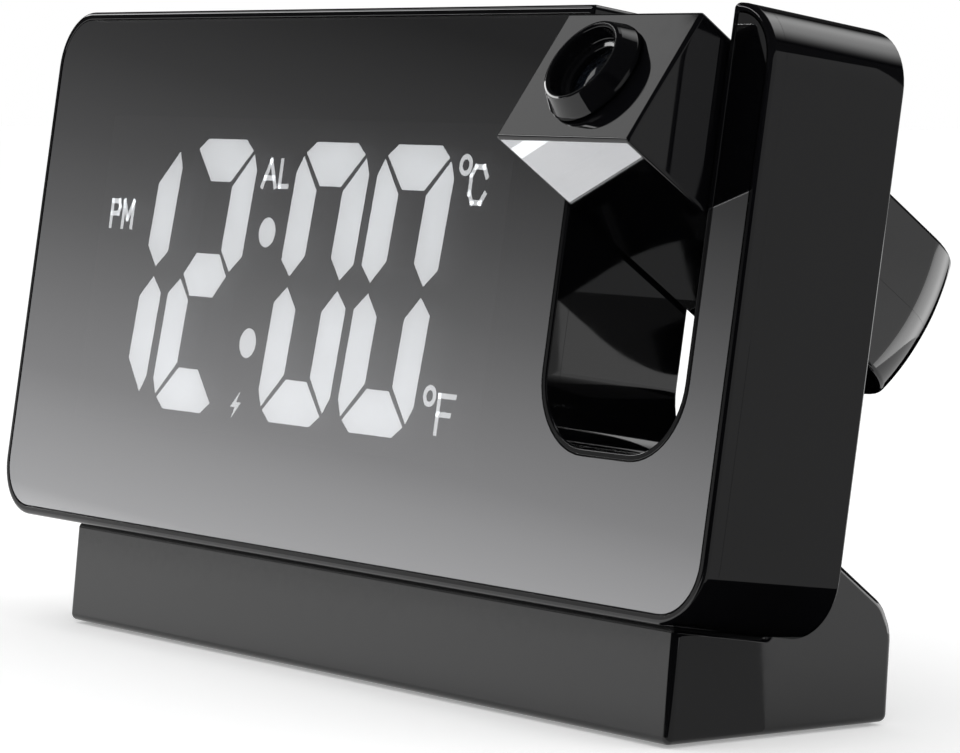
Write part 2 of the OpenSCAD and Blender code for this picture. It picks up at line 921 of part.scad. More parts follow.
module speaker() {
    color("#3a3b3d")
        on_body() {
            bar_d([speaker_x, speaker_h], cavity_back - 1.2, cavity_back, speaker_r - 0.1);
            bar_d([speaker_x, speaker_h], cavity_back - 2.6, cavity_back - 1.2 + eps,
                  speaker_r - 1.5);
            bar_d([speaker_x, speaker_h], cavity_back - speaker_t, cavity_back - 2.6 + eps,
                  speaker_r - 4);
        }
}

module usb_socket() {
    mouth = 22.9;
    color(steel)
        on_body() {
            difference() {
                slab(main_board_back, mouth)
                    translate([usb_x, usb_h - usb_high / 2])
                        rounded(usb_w, usb_high, 1.5);
                slab(main_board_back + 1.2, mouth + past)
                    translate([usb_x, usb_h - usb_high / 2 + 0.3])
                        rounded(usb_w - 0.6, usb_high - 0.6, 1.2);
            }
            block([usb_x - 3.3, main_board_back + 1, usb_h - 0.35],
                  [usb_x + 3.3, mouth - 0.8, usb_h + 0.35]);
        }
}

// ---------------------------------------------------------------- arm pivots

left_socket_end = slot_left - 5;
bush_flange_t = 1.2;
left_washer_x = left_socket_end - bush_flange_t - 0.1;
right_washer_x = slot_right + 4 + 0.1;
washer_t = 0.5;
clip_t = 0.7;

// Moves children to the pivot axis in the body, unturned
module on_pivot() {
    on_body()
        translate([0, pivot_back, pivot_h])
            children();
}

module pivot_bush_left() {
    color(brass_tone)
        on_pivot()
            difference() {
                union() {
                    bar_x(left_socket_end - eps, slot_left - 0.1, left_bush_d / 2 - 0.02);
                    bar_x(left_socket_end - bush_flange_t, left_socket_end, left_bush_d / 2 + 1.4);
                }
                bar_x(left_socket_end - past - bush_flange_t, slot_left + past,
                      left_stub_d / 2 + pivot_fit);
            }
}

module pivot_bush_right() {
    color(brass_tone)
        on_pivot()
            difference() {
                bar_x(slot_right + 0.1, slot_right + 4, right_bush_d / 2 - 0.02);
                bar_x(slot_right - past, slot_right + 4 + past, right_stub_d / 2 + pivot_fit);
            }
}

// Hollow stub that carries the arm on the left; the cable runs through it
module pivot_stub_left() {
    inner = slot_left + arm_gap + arm_wall;
    end = left_washer_x - washer_t - clip_t - 1;
    color(steel)
        on_pivot()
            difference() {
                union() {
                    bar_x(end, inner + eps, left_stub_d / 2);
                    bar_x(inner, inner + 1.4, left_stub_d / 2 + 1.6);
                }
                bar_x(end - past, inner + 2 + past, left_stub_bore / 2);
                groove(left_washer_x - washer_t - clip_t, left_stub_d / 2);
            }
}

module pivot_stub_right() {
    inner = slot_right - arm_gap - arm_wall;
    end = right_washer_x + washer_t + clip_t + 0.7;
    color(steel)
        on_pivot()
            difference() {
                union() {
                    bar_x(inner - eps, end, right_stub_d / 2);
                    bar_x(inner - 1.4, inner, right_stub_d / 2 + 1.6);
                }
                groove(right_washer_x + washer_t, right_stub_d / 2);
            }
}

// Ring-shaped groove for a clip, starting at x
module groove(x, r) {
    difference() {
        bar_x(x, x + clip_t, r + past);
        bar_x(x - past, x + clip_t + past, r - 0.6);
    }
}

module ring_x(x, t, r_out, r_in) {
    difference() {
        bar_x(x, x + t, r_out);
        bar_x(x - past, x + t + past, r_in);
    }
}

module pivot_washers() {
    color("#8a6f4a")
        on_pivot() {
            ring_x(left_washer_x - washer_t, washer_t, left_stub_d / 2 + 1.8, left_stub_d / 2);
            ring_x(right_washer_x, washer_t, right_stub_d / 2 + 1.6, right_stub_d / 2);
        }
}

// Spring clips in the stubs' grooves, each open on one side
module pivot_clips() {
    color(steel)
        on_pivot()
            difference() {
                union() {
                    ring_x(left_washer_x - washer_t - clip_t, clip_t, left_stub_d / 2 + 1.2,
                           left_stub_d / 2 - 0.6);
                    ring_x(right_washer_x + washer_t, clip_t, right_stub_d / 2 + 1,
                           right_stub_d / 2 - 0.6);
                }
                block([slot_left - 20, -2.4, 0], [slot_right + 20, 2.4, 20]);
            }
}

// Cable from the main board along the pivot axis into the arm
module projector_cable() {
    color("#1c1c1e")
        on_pivot()
            bar_x(frame_right - 3, slot_left + arm_gap + 4.6, 1.2);
}

// ---------------------------------------------------------------- projector arm

// Outer form of the arm, drawn in by some distance. Its tail is a box cut to a form that is
// turned round the pivot, so that it clears the slot's round foot at every angle
module arm_form(inset) {
    w = arm_w - 2 * inset;
    t = arm_t - 2 * inset;
    r = tail_r - inset;
    reach = arm_tail - inset;
    translate([-w / 2, -t / 2, 0])
        cube([w, t, arm_head - inset]);
    intersection() {
        translate([-w / 2, -t / 2, -reach])
            cube([w, t, reach + eps]);
        rotate([0, 90, 0])
            rotate_extrude($fn = 96) {
                translate([0, -w / 2])
                    square([reach - r, w]);
                translate([0, -w / 2 + r])
                    square([reach, w - 2 * r]);
                for (x = [-w / 2 + r, w / 2 - r])
                    translate([reach - r, x])
                        circle(r);
            }
    }
}

tube_r = 6.3;
tube_foot = 7;
tube_flange = [17, 15, 2];
rib_t = 1.6;
lcd_size = [15, 13, 1.8];
condenser_r = 5.2;
condenser_foot = 1.4;
condenser_ball_r = 9;
board_z = -6.5;
led_board_size = [18, 16, 1.2];
arm_screw_l = 14;
arm_post_places = [[-10.4, 17], [10.4, 17], [-8.5, -24], [8.5, -24]];
arm_post_r = 2.1;
arm_screw_seat = arm_t / 2 - 2;

// Cross wall inside the arm between two heights
module arm_rib(z0) {
    intersection() {
        arm_form(arm_wall - eps);
        block([-arm_w, -arm_t, z0], [arm_w, arm_t, z0 + rib_t]);
    }
}

// Both halves of the arm together, before they are split
module arm_walls() {
    difference() {
        union() {
            difference() {
                arm_form(0);
                arm_form(arm_wall);
            }
            arm_rib(tube_foot + tube_flange[2]);
            arm_rib(board_z - rib_t);
        }
        translate([0, 0, tube_foot])
            cylinder(h = arm_head, r = tube_r);
        // window for the wires behind the light board
        block([-5, -4, board_z - rib_t - past], [5, 4, board_z + past]);
        bar_x(-arm_w, 0, left_stub_d / 2);
        bar_x(0, arm_w, right_stub_d / 2);
    }
}

module arm_front_shell() {
    color(gloss_black)
        on_arm()
            difference() {
                union() {
                    intersection() {
                        arm_walls();
                        block([-arm_w, -arm_t, -2 * arm_tail], [arm_w, 0, 2 * arm_head]);
                    }
                    for (p = arm_post_places)
                        bar_d(p, -arm_t / 2 + 1, 0, arm_post_r);
                }
                for (p = arm_post_places)
                    bar_d(p, -arm_t / 2 + 3, past, 0.85);
            }
}

module arm_rear_shell() {
    color(gloss_black)
        on_arm()
            difference() {
                union() {
                    intersection() {
                        arm_walls();
                        block([-arm_w, 0, -2 * arm_tail], [arm_w, arm_t, 2 * arm_head]);
                    }
                    for (p = arm_post_places)
                        bar_d(p, 0.05, arm_t / 2 - 1, arm_post_r);
                }
                for (p = arm_post_places) {
                    bar_d(p, -past, arm_t, 1.05);
                    bar_d(p, arm_screw_seat, arm_t, 2);
                }
            }
}

module arm_screws() {
    color(steel)
        on_arm()
            for (p = arm_post_places)
                translate([p[0], arm_screw_seat, p[1]])
                    rotate([-90, 0, 0])
                        small_screw(arm_screw_l, 0.8);
}

module lens_tube() {
    color(satin_black)
        on_arm()
            difference() {
                union() {
                    translate([0, 0, tube_foot])
                        cylinder(h = arm_head - tube_foot - 0.2, r = tube_r - 0.02);
                    plate_on(tube_flange, tube_foot);
                }
                translate([0, 0, tube_foot - past])
                    cylinder(h = arm_head, r = sleeve_r + 0.05);
            }
}

// Flat plate centred on the arm's axis, standing on a height
module plate_on(size, z) {
    translate([-size[0] / 2, -size[1] / 2, z])
        cube(size);
}

// Small glass display that makes the projected picture
module projection_lcd() {
    color("#20242a")
        on_arm()
            plate_on(lcd_size, tube_foot - lcd_size[2]);
}

module condenser_lens() {
    color("#cfd8dc")
        on_arm()
            intersection() {
                translate([0, 0, condenser_foot])
                    cylinder(h = tube_foot - lcd_size[2] - condenser_foot, r = condenser_r);
                translate([0, 0, tube_foot - lcd_size[2] - condenser_ball_r])
                    sphere(r = condenser_ball_r, $fn = 64);
            }
}

module led_board() {
    color(board_green)
        on_arm()
            plate_on(led_board_size, board_z);
}

module projection_led() {
    top = board_z + led_board_size[2];
    color(lit_white)
        on_arm() {
            translate([0, 0, top])
                cylinder(h = 1.2, r = 3);
            translate([0, 0, top + 1.2 - eps])
                cylinder(h = 1, r = 1.8);
        }
}

// Turning ring: a sleeve in the lens tube and a tapered grip outside it
module focus_ring() {
    foot = arm_head + ring_gap;
    color(gloss_black)
        on_arm()
            rotate_extrude($fn = 64)
                polygon([
                    [lens_r, foot - 8], [sleeve_r, foot - 8], [sleeve_r, foot],
                    [ring_foot_r, foot], [ring_foot_r - 0.15, foot + 0.7],
                    [ring_rim_r + 0.25, ring_top - 0.5], [ring_rim_r, ring_top - 0.1],
                    [ring_rim_r - 0.4, ring_top], [ring_rim_r - 0.8, ring_top - 0.25],
                    [ring_rim_r - 1.1, ring_top - 2.4], [lens_r - 0.4, ring_top - 2.8],
                    [lens_r - 0.4, ring_top - 3.6], [lens_r, ring_top - 3.6]
                ]);
}

module projection_lens() {
    back = arm_head + ring_gap - 3.4;
    color("#5c6670")
        on_arm()
            rotate_extrude($fn = 64)
                polygon(concat(
                    [[0, back], [lens_r - 0.02, back], [lens_r - 0.02, ring_top - 3.62]],
                    [for (i = [0:6]) let (r = (lens_r - 0.45) * (1 - i / 6))
                        [r, ring_top - 3.62 + 0.9 * (1 - pow(r / (lens_r - 0.45), 2))]]
                ));
}

// ---------------------------------------------------------------- all sub-parts

stand_shell();
floor_plate();
battery_door();
battery_contacts();
rubber_feet();
floor_screws();
stand_screws();
rear_shell();
front_bezel();
mirror_panel();
display_frame();
lit_segments();
dark_segments();
indicator_lights();
display_board();
main_board();
board_parts();
board_screws();
button_switches();
speaker();
usb_socket();
shell_screws();
pivot_bush_left();
pivot_bush_right();
snooze_bar();
mode_button();
alarm_button();
up_button();
down_button();
projection_button();
arm_front_shell();
arm_rear_shell();
pivot_stub_left();
pivot_stub_right();
pivot_washers();
pivot_clips();
projector_cable();
lens_tube();
projection_lcd();
condenser_lens();
led_board();
projection_led();
arm_screws();
focus_ring();
projection_lens();
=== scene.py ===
"""Projection alarm clock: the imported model's looks, as surfaces, finishes, stage and camera."""
import json
import math

import bpy
import numpy as np
from bpy.props import FloatProperty, FloatVectorProperty, PointerProperty, StringProperty
from mathutils import Matrix, Vector
from mathutils.geometry import tessellate_polygon


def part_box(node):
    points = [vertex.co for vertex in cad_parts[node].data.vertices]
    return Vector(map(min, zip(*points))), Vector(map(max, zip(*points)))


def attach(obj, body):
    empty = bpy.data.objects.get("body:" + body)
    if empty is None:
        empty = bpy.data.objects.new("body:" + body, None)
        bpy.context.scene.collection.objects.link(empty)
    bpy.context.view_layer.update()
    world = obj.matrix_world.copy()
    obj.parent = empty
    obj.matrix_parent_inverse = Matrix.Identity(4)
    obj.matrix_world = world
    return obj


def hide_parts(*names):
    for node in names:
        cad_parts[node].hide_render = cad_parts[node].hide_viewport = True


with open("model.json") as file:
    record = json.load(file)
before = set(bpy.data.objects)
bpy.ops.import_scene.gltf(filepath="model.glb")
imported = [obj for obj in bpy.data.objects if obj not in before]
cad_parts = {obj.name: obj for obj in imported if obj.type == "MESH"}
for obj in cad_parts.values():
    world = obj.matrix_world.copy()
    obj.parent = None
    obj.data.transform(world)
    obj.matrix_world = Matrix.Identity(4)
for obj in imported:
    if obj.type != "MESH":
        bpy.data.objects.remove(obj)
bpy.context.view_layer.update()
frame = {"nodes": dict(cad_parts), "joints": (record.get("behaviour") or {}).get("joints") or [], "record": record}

bl_info = {
    "name": "Projection Alarm Clock",
    "version": (1, 0, 0),
    "blender": (4, 5, 0),
    "location": "3D View > Sidebar > Clock",
    "description": "Builds a mirror-faced projection alarm clock round its packed model",
    "category": "Object",
}

MM = 0.001
LEAN = math.radians(9)                  # the body leans back
ARM_TURN = math.radians(62.6) - LEAN    # the lens axis at rest, turned forward from upright
DIAGONAL = math.sqrt(0.5)
ARC_STEPS = 14                          # points in each round corner of the body's outline
HOLE_STEPS = 40                         # points round a hole
WELD_GRID, WELD_OFFSET = 500, 0.237     # points in one cell of 1/500 mm are welded
WHITE = (1, 1, 1, 1)

# Places and sizes in millimetres that several pieces share
BEZEL = 2.4                             # thickness of the front frame
BACK_WALL = 2.2                         # thickness of the housing's back
POST_END = 16.2                         # depth at which the screw posts meet the bosses
MOUTH, LEAST_MOUTH = 0.8, 0.35          # radius of the slot's two upper tips, and its least
PIVOT_DEPTH, PIVOT_DROP = 12.4, 22.8    # the arm's pivot, behind the front and below the top


# ---------------------------------------------------------------- sizes and colours

def size(name, millimetres, description):
    """A length that a user may change, in metres."""
    return FloatProperty(
        name=name, description=description, default=millimetres * MM, min=0, unit="LENGTH",
        precision=5)


def colour(name, value, description):
    """A colour as an sRGB hex value."""
    return StringProperty(name=name, description=description, default=value)


class ClockBodySizes(bpy.types.PropertyGroup):
    width: size("Width", 186, "Width of the clock body")
    height: size("Height", 83.2, "Height of the body along its leaning front")
    depth: size("Depth", 23.2, "Thickness of the body, front to back")
    corner: size("Corner radius", 9, "Radius of the body's corners, seen from the front")
    wall: size("Wall", 2, "Wall thickness of the housing")
    bezel: size("Front frame", BEZEL, "Thickness of the front frame")
    rim: size("Rim", 1.3, "Width of the frame's rim round the mirror")
    slot_rim: size("Slot rim", 0.9, "Width of the rim round the slot")
    column: size("Column", 9.5, "Width of the column to the right of the slot")
    slot_width: size("Slot width", 30.7, "Width of the slot that the arm swings in")
    slot_depth: size("Slot depth", 61.3, "Depth of the slot below the body's top")
    slot_corner: size("Slot radius", 10.3, "Radius of the slot's lower corners")
    front_edge: size("Front edge", 0.7, "Radius of the round-over on the front edge")
    back_edge: size("Back edge", 0.35, "Radius of the round-over on the back edge")
    slot_edge: size("Slot edge", 0.25, "Radius of the round-over on the slot's edges")
    mirror: size("Mirror", 1.5, "Thickness of the mirror panel")


class ClockArmSizes(bpy.types.PropertyGroup):
    width: size("Width", 29.6, "Width of the projector arm")
    thickness: size("Thickness", 21.1, "Thickness of the projector arm")
    head: size("Head", 24.7, "Length from the pivot to the lens face")
    tail: size("Tail", 37.3, "Length from the pivot to the tail")
    tail_corner: size("Tail radius", 8.5, "Radius of the tail's two corners")
    edge: size("Edge", 0.55, "Radius of the round-over on the arm's edges")
    wall: size("Wall", 1.8, "Wall thickness of the arm's shells")
    ring_foot: size("Ring foot", 8, "Radius of the focus ring next to the lens face")
    ring_rim: size("Ring rim", 6.5, "Radius of the focus ring's front rim")
    lens: size("Lens", 4.6, "Radius of the front lens")
    mirror_foot: FloatProperty(
        name="Mirror foot", description="Where the mirror finish of the arm's front face ends, "
        "from the pivot", default=-14 * MM, unit="LENGTH", precision=5)


class ClockStandSizes(bpy.types.PropertyGroup):
    width: size("Width", 159, "Width of the stand")
    edge: size("Edge", 1.1, "Radius of the round-over on the stand's edges")
    wall: size("Wall", 2, "Wall thickness of the stand")
    door: size("Door notch", 100.2, "Width of the notch that the battery door slides out through")


class ClockColours(bpy.types.PropertyGroup):
    gloss_black: colour("Gloss black", "#060607", "Polished black plastic of the housings")
    satin_black: colour("Satin black", "#191919", "Satin black plastic of the underside")
    mirror: colour("Mirror", "#e4e4e6", "Reflecting film on the mirror panel")
    digits: colour("Digits", "#f4f6f8", "Lit diffusers of the digits")
    diffuser_off: colour("Unlit diffuser", "#303236", "Diffusers that are off")
    floor: colour("Floor", "#f4f4f4", "Plain floor")


class ClockStage(bpy.types.PropertyGroup):
    daylight: FloatProperty(
        name="Studio light", description="Level of the even light from all round", default=0.8,
        min=0, soft_max=2)
    digit_light: FloatProperty(
        name="Digit light", description="Brightness of the lit digits", default=2.35, min=0,
        soft_max=5)


GROUPS = {
    "clock_body": ClockBodySizes,
    "clock_arm": ClockArmSizes,
    "clock_stand": ClockStandSizes,
    "clock_colours": ClockColours,
    "clock_stage": ClockStage,
}


def in_mm(group):
    """The group's lengths in millimetres, by name."""
    return {n: round(getattr(group, n) / MM, 4) for n in group.__annotations__}


# ---------------------------------------------------------------- places

def axes(origin, turn):
    """A place whose second and third axes are turned about X from world Y and Z."""
    c, s = math.cos(turn), math.sin(turn)
    return np.array(origin, float), np.array([[1, 0, 0], [0, c, s], [0, -s, c]])


BEZEL_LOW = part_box("front_bezel")[0]
STAND_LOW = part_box("stand_shell")[0]
SWING = next(j for j in frame["joints"] if j["name"] == "arm_swing")
BODY_ORIGIN = [0, BEZEL_LOW.y / MM, BEZEL_LOW.z / MM + BEZEL * math.sin(LEAN)]
BODY = axes(BODY_ORIGIN, -LEAN)
ARM = axes(np.array(SWING["pos_m"]) / MM, ARM_TURN)
STAND = axes([0, BODY_ORIGIN[1], STAND_LOW.z / MM], 0)


# ---------------------------------------------------------------- outlines and profiles

def rounded_path(corners, radii, steps=ARC_STEPS):
    """Closed anticlockwise outline with round corners, as points and outward normals.

    Each corner's arc starts radius x tan(turn / 2) before the corner. Its centre lies one radius
    inside the outline where the path turns left, and one radius outside where it turns right.
    """
    corners, radii = np.array(corners, float), np.array(radii, float)
    came = corners - np.roll(corners, 1, 0)
    came /= np.linalg.norm(came, axis=1)[:, None]
    goes = np.roll(came, -1, 0)
    turn = np.arctan2(came[:, 0] * goes[:, 1] - came[:, 1] * goes[:, 0], (came * goes).sum(1))
    reach = np.sign(turn) * radii
    first = np.stack([came[:, 1], -came[:, 0]], 1)
    centre = corners - came * (radii * np.tan(np.abs(turn) / 2))[:, None] - reach[:, None] * first
    t = turn[:, None] * np.linspace(0, 1, steps)
    x, y = first[:, :1], first[:, 1:]
    normals = np.stack([x * np.cos(t) - y * np.sin(t), x * np.sin(t) + y * np.cos(t)], -1)
    points = centre[:, None] + reach[:, None, None] * normals
    return points.reshape(-1, 2), normals.reshape(-1, 2)


def rounded_box(left, foot, right, top, radius, steps):
    """Rectangle with round corners, as points and outward normals."""
    return rounded_path([(left, foot), (right, foot), (right, top), (left, top)], [radius] * 4,
                        steps)


def circle(centre, radius, steps=HOLE_STEPS):
    """Points centre + radius (cos t, sin t) and their outward normals."""
    t = np.linspace(0, 2 * math.pi, steps, endpoint=False)
    normals = np.stack([np.cos(t), np.sin(t)], 1)
    return np.array(centre) + radius * normals, normals


def carry(path, profile):
    """A profile of (inset, depth, out, back) carried along a path.

    A point is the path's point less inset times its normal, at the profile's depth. The surface
    normal is out times the path's normal plus back along the depth.
    """
    points, normals = path
    inset, depth, out, back = np.array(profile, float).T[:, :, None]
    flat = points - inset[..., None] * normals
    full = np.broadcast_to(depth, flat.shape[:2])
    surface = np.stack([flat[..., 0], full, flat[..., 1]], -1)
    return surface, np.stack([
        out * normals[:, 0], np.broadcast_to(back, full.shape), out * normals[:, 1]], -1)


def round_over(radius, depth=0.0, towards=1, steps=6):
    """Quarter round from a flat face to the side: inset r(1 - sin t), depth r(1 - cos t)."""
    t = np.linspace(0, math.pi / 2, steps)
    rows = np.stack([
        radius * (1 - np.sin(t)), depth + towards * radius * (1 - np.cos(t)), np.sin(t),
        -towards * np.cos(t)], 1)
    return rows[::towards].tolist()


def slot_share(share):
    """How much of the edge radius each point of the body's outline has: all of it outside, the
    share at the slot, and a blend round the two tips between them."""
    blend = np.linspace(1, share, ARC_STEPS)
    inside = np.full(2 * ARC_STEPS, share)
    return np.concatenate([np.ones(3 * ARC_STEPS), blend, inside, blend[::-1],
                           np.ones(ARC_STEPS)])[None, :, None]


def eased_edge(path, radius, depth, towards, share):
    """A round-over carried along a path, its size scaled at each point by a share."""
    points, normals = carry(path, round_over(radius, depth, towards))
    start = lift(path[0], depth)
    return start + share * (points - start), normals


def joined(*surfaces):
    """The rows of several surfaces, one after the other."""
    return tuple(np.concatenate(parts) for parts in zip(*surfaces))


def lift(points, depth):
    """Front-view points at one depth."""
    return np.insert(np.asarray(points, float), 1, depth, axis=1)


class Skin:
    """Collects grids and flat faces, and puts them into one welded mesh."""

    def __init__(self):
        self.points, self.normals, self.faces, self.slots, self.count = [], [], [], [], 0

    def _add(self, points, normals, faces, slot):
        self.points.append(points.reshape(-1, 3))
        self.normals.append(np.broadcast_to(normals, points.shape).reshape(-1, 3))
        self.faces.append(np.asarray(faces) + self.count)
        self.slots.append(np.full(len(faces), slot))
        self.count += points.size // 3

    def grid(self, surface, close=True, keep=None, slot=0):
        """Quads between the rows and columns of a grid. close joins its last column to its first,
        and keep says which quads are made."""
        points, normals = surface
        rows, columns = points.shape[:2]
        index = np.arange(rows * columns).reshape(rows, columns)
        left, right = (index, np.roll(index, -1, 1)) if close else (index[:, :-1], index[:, 1:])
        quads = np.stack([left[:-1], right[:-1], right[1:], left[1:]], -1)
        quads = quads.reshape(-1, 4) if keep is None else quads[keep]
        self._add(points, normals, quads, slot)

    def between(self, first, second, normal, slot=0):
        """Flat ring of quads between two matching closed loops."""
        self.grid((np.stack([first, second]), np.array(normal, float)), slot=slot)

    def flat(self, loops, normal, slot=0):
        """Triangles that fill a flat outline round its holes."""
        points = np.concatenate(loops)
        triangles = tessellate_polygon([[Vector(p) for p in loop] for loop in loops])
        self._add(points, np.array(normal, float), triangles, slot)

    def piece(self, name, place, materials):
        """Welds the points, turns every face to agree with its normals, and makes the object."""
        points, normals = np.concatenate(self.points), np.concatenate(self.normals)
        _, first, same = np.unique(
            np.round(points * WELD_GRID + WELD_OFFSET), axis=0, return_index=True,
            return_inverse=True)
        same = same.ravel()
        origin, turn = place
        kept = (points[first] @ turn + origin) * MM
        normals = normals @ turn
        groups = {3: [], 4: []}
        for found, slot in zip(self.faces, self.slots):
            double = same[found] == np.roll(same[found], -1, axis=1)
            whole, narrow = ~double.any(1), (double.sum(1) == 1) & (found.shape[1] == 4)
            groups[found.shape[1]].append((found[whole], slot[whole]))
            groups[3].append((found[narrow][~double[narrow]].reshape(-1, 3), slot[narrow]))
        corners, loop_normals, slots = [], [], []
        for sides, group in groups.items():
            if not group:
                continue
            faces = np.concatenate([f for f, _ in group])
            a, b, c = (kept[same[faces[:, i]]] for i in (0, 1, sides - 1))
            wrong = (np.cross(b - a, c - a) * normals[faces].mean(1)).sum(1) < 0
            faces[wrong] = faces[wrong][:, ::-1]
            corners += same[faces].tolist()
            loop_normals.append(normals[faces].reshape(-1, 3))
            slots.append(np.concatenate([slot for _, slot in group]))
        mesh = bpy.data.meshes.new(name)
        mesh.from_pydata(kept.tolist(), [], corners)
        mesh.polygons.foreach_set("material_index", np.concatenate(slots).astype(np.int32))
        mesh.polygons.foreach_set("use_smooth", np.ones(len(corners), bool))
        mesh.update()
        if len(mesh.polygons) != len(corners):
            raise RuntimeError(f"{name} lost faces")
        split = np.concatenate(loop_normals)
        split /= np.linalg.norm(split, axis=1)[:, None]
        if not np.isfinite(split).all() or not np.isfinite(kept).all():
            raise RuntimeError(f"{name} has a point or normal that isn't a number")
        mesh.normals_split_custom_set(split.tolist())
        for material in materials:
            mesh.materials.append(material)
        made = bpy.data.objects.new(name, mesh)
        bpy.context.scene.collection.objects.link(made)
        return made


def turned(profile, steps=128):
    """Surface of revolution about the third axis from (radius, height, out, up) rows."""
    t = np.linspace(0, 2 * math.pi, steps, endpoint=False)
    radius, height, out, up = np.array(profile, float).T[:, :, None]
    full = np.ones((1, steps))
    return (np.stack([radius * np.cos(t), radius * np.sin(t), height * full], -1),
            np.stack([out * np.cos(t), out * np.sin(t), up * full], -1))


def along_depth(surface, centre=(0, 0)):
    """Turns a surface about the third axis into one about the depth, at a front-view place."""
    points, normals = surface
    return points[..., [0, 2, 1]] + [centre[0], 0, centre[1]], normals[..., [0, 2, 1]]


def hand_in(piece, body, stands_for):
    """Says what the piece rides on and which node it stands for."""
    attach(piece, body)
    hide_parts(stands_for)


# ---------------------------------------------------------------- materials

def linear(value):
    """Linear RGBA from an sRGB hex value."""
    srgb = [int(value.lstrip("#")[i:i + 2], 16) / 255 for i in (0, 2, 4)]
    return [c / 12.92 if c <= 0.04045 else ((c + 0.055) / 1.055) ** 2.4 for c in srgb] + [1.0]


def node(tree, kind, inputs=None, **settings):
    """Adds one node. A value that is a socket is linked, and any other is set."""
    made = tree.nodes.new(kind)
    for name, value in settings.items():
        setattr(made, name, value)
    for name, value in (inputs or {}).items():
        if isinstance(value, bpy.types.NodeSocket):
            tree.links.new(value, made.inputs[name])
        else:
            made.inputs[name].default_value = value
    return made


def material(name):
    """A new material without nodes, and its node tree."""
    made = bpy.data.materials.new(name)
    made.use_nodes = True
    made.node_tree.nodes.clear()
    return made, made.node_tree


def grain(tree, millimetres, detail=3.0):
    """Noise whose features are about that many millimetres across, on Object coordinates."""
    return node(tree, "ShaderNodeTexNoise", {
        "Vector": node(tree, "ShaderNodeTexCoord").outputs["Object"],
        "Scale": 1 / (millimetres * MM), "Detail": detail}).outputs["Fac"]


def spread(tree, factor, low, high):
    """A factor around one half stretched to lie between two values."""
    return node(tree, "ShaderNodeMapRange", {
        "Value": factor, "From Min": 0.3, "From Max": 0.7, "To Min": low, "To Max": high}
    ).outputs["Result"]


def tint(tree, factor, dark, light):
    """A colour between two sRGB hex values."""
    mix = node(tree, "ShaderNodeMix", {"Factor": factor}, data_type="RGBA")
    # a Mix node has its colours A and B at inputs 6 and 7, and their mix at output 2
    mix.inputs[6].default_value, mix.inputs[7].default_value = linear(dark), linear(light)
    return mix.outputs[2]


def bump(tree, height, millimetres, strength=1.0):
    """Surface relief of that height."""
    return node(tree, "ShaderNodeBump", {
        "Height": height, "Distance": millimetres * MM, "Strength": strength}).outputs["Normal"]


def finish(name, dark, light, rough, speckle, relief, tone_mm=9, **sockets):
    """A moulded, plated or coated surface.

    Its colour drifts between two tones over tone_mm, its roughness between two values, and its
    relief is given as (grain in mm, height in mm). Other sockets are constants.
    """
    made, tree = material(name)
    tone = grain(tree, tone_mm)
    fine = grain(tree, speckle)
    shader = node(tree, "ShaderNodeBsdfPrincipled", {
        "Base Color": tint(tree, spread(tree, tone, 0, 1), dark, light),
        "Roughness": spread(tree, fine, *rough),
        "Normal": bump(tree, grain(tree, relief[0]), relief[1]),
        **{k.replace("_", " "): v for k, v in sockets.items()}})
    node(tree, "ShaderNodeOutputMaterial", {"Surface": shader.outputs["BSDF"]})
    return made


def polished_black_abs(colours):
    """ABS from a polished mould: nearly black, with sharp reflections that waver very slightly."""
    return finish("polished_black_abs", colours.gloss_black, "#08080a", (0.03, 0.065), 3.0,
                  (14.0, 0.012), tone_mm=25, IOR=1.5)


def satin_black_abs(colours):
    """ABS from a spark-eroded mould: a fine even grain that spreads the light. The grain is about
    0.1 mm on a real part and is drawn at 0.45 mm so that it shows."""
    return finish("spark_textured_black_abs", colours.satin_black, "#202021", (0.42, 0.56), 0.45,
                  (0.45, 0.02), IOR=1.53)


def mirror_film(colours):
    """Half-reflecting metal film under polished acrylic: part mirror, part window, almost flat."""
    made, tree = material("half_mirror_film")
    shader = node(tree, "ShaderNodeBsdfPrincipled", {
        "Base Color": linear(colours.mirror), "Metallic": 1.0, "Alpha": 0.8,
        "Roughness": spread(tree, grain(tree, 6.0), 0.012, 0.028),
        "Normal": bump(tree, grain(tree, 60.0, detail=1.0), 0.006)})
    node(tree, "ShaderNodeOutputMaterial", {"Surface": shader.outputs["BSDF"]})
    return made


def acrylic_edge():
    """Clear smoked acrylic behind the film: the eye sees through it, apart from its gloss."""
    return finish("smoked_acrylic_edge", "#101113", "#17181a", (0.04, 0.09), 1.5, (4.0, 0.004),
                  IOR=1.49, Alpha=0.05)


def plated_face():
    """Vacuum-metallised face under clear lacquer: a bright mirror that wavers very slightly."""
    return finish("clear_coated_vacuum_plating", "#e9eaec", "#eeeff0", (0.015, 0.03), 6.0,
                  (40.0, 0.004), tone_mm=20, Metallic=1.0)


def lit_diffuser(colours, strength):
    """Opal white polycarbonate over light-emitting diodes: an even cool white glow, slightly
    stronger over each diode. The glow's drift follows diodes about 9 mm apart."""
    made, tree = material("lit_opal_diffuser")
    glow = spread(tree, grain(tree, 9.0, detail=1.0), 0.97, 1.03)
    shader = node(tree, "ShaderNodeBsdfPrincipled", {
        "Base Color": linear(colours.digits), "Roughness": 0.5, "IOR": 1.58,
        "Emission Color": linear(colours.digits),
        "Emission Strength": node(
            tree, "ShaderNodeMath", {0: glow, 1: strength}, operation="MULTIPLY"
        ).outputs["Value"],
        "Normal": bump(tree, grain(tree, 0.5), 0.006)})
    node(tree, "ShaderNodeOutputMaterial", {"Surface": shader.outputs["BSDF"]})
    return made


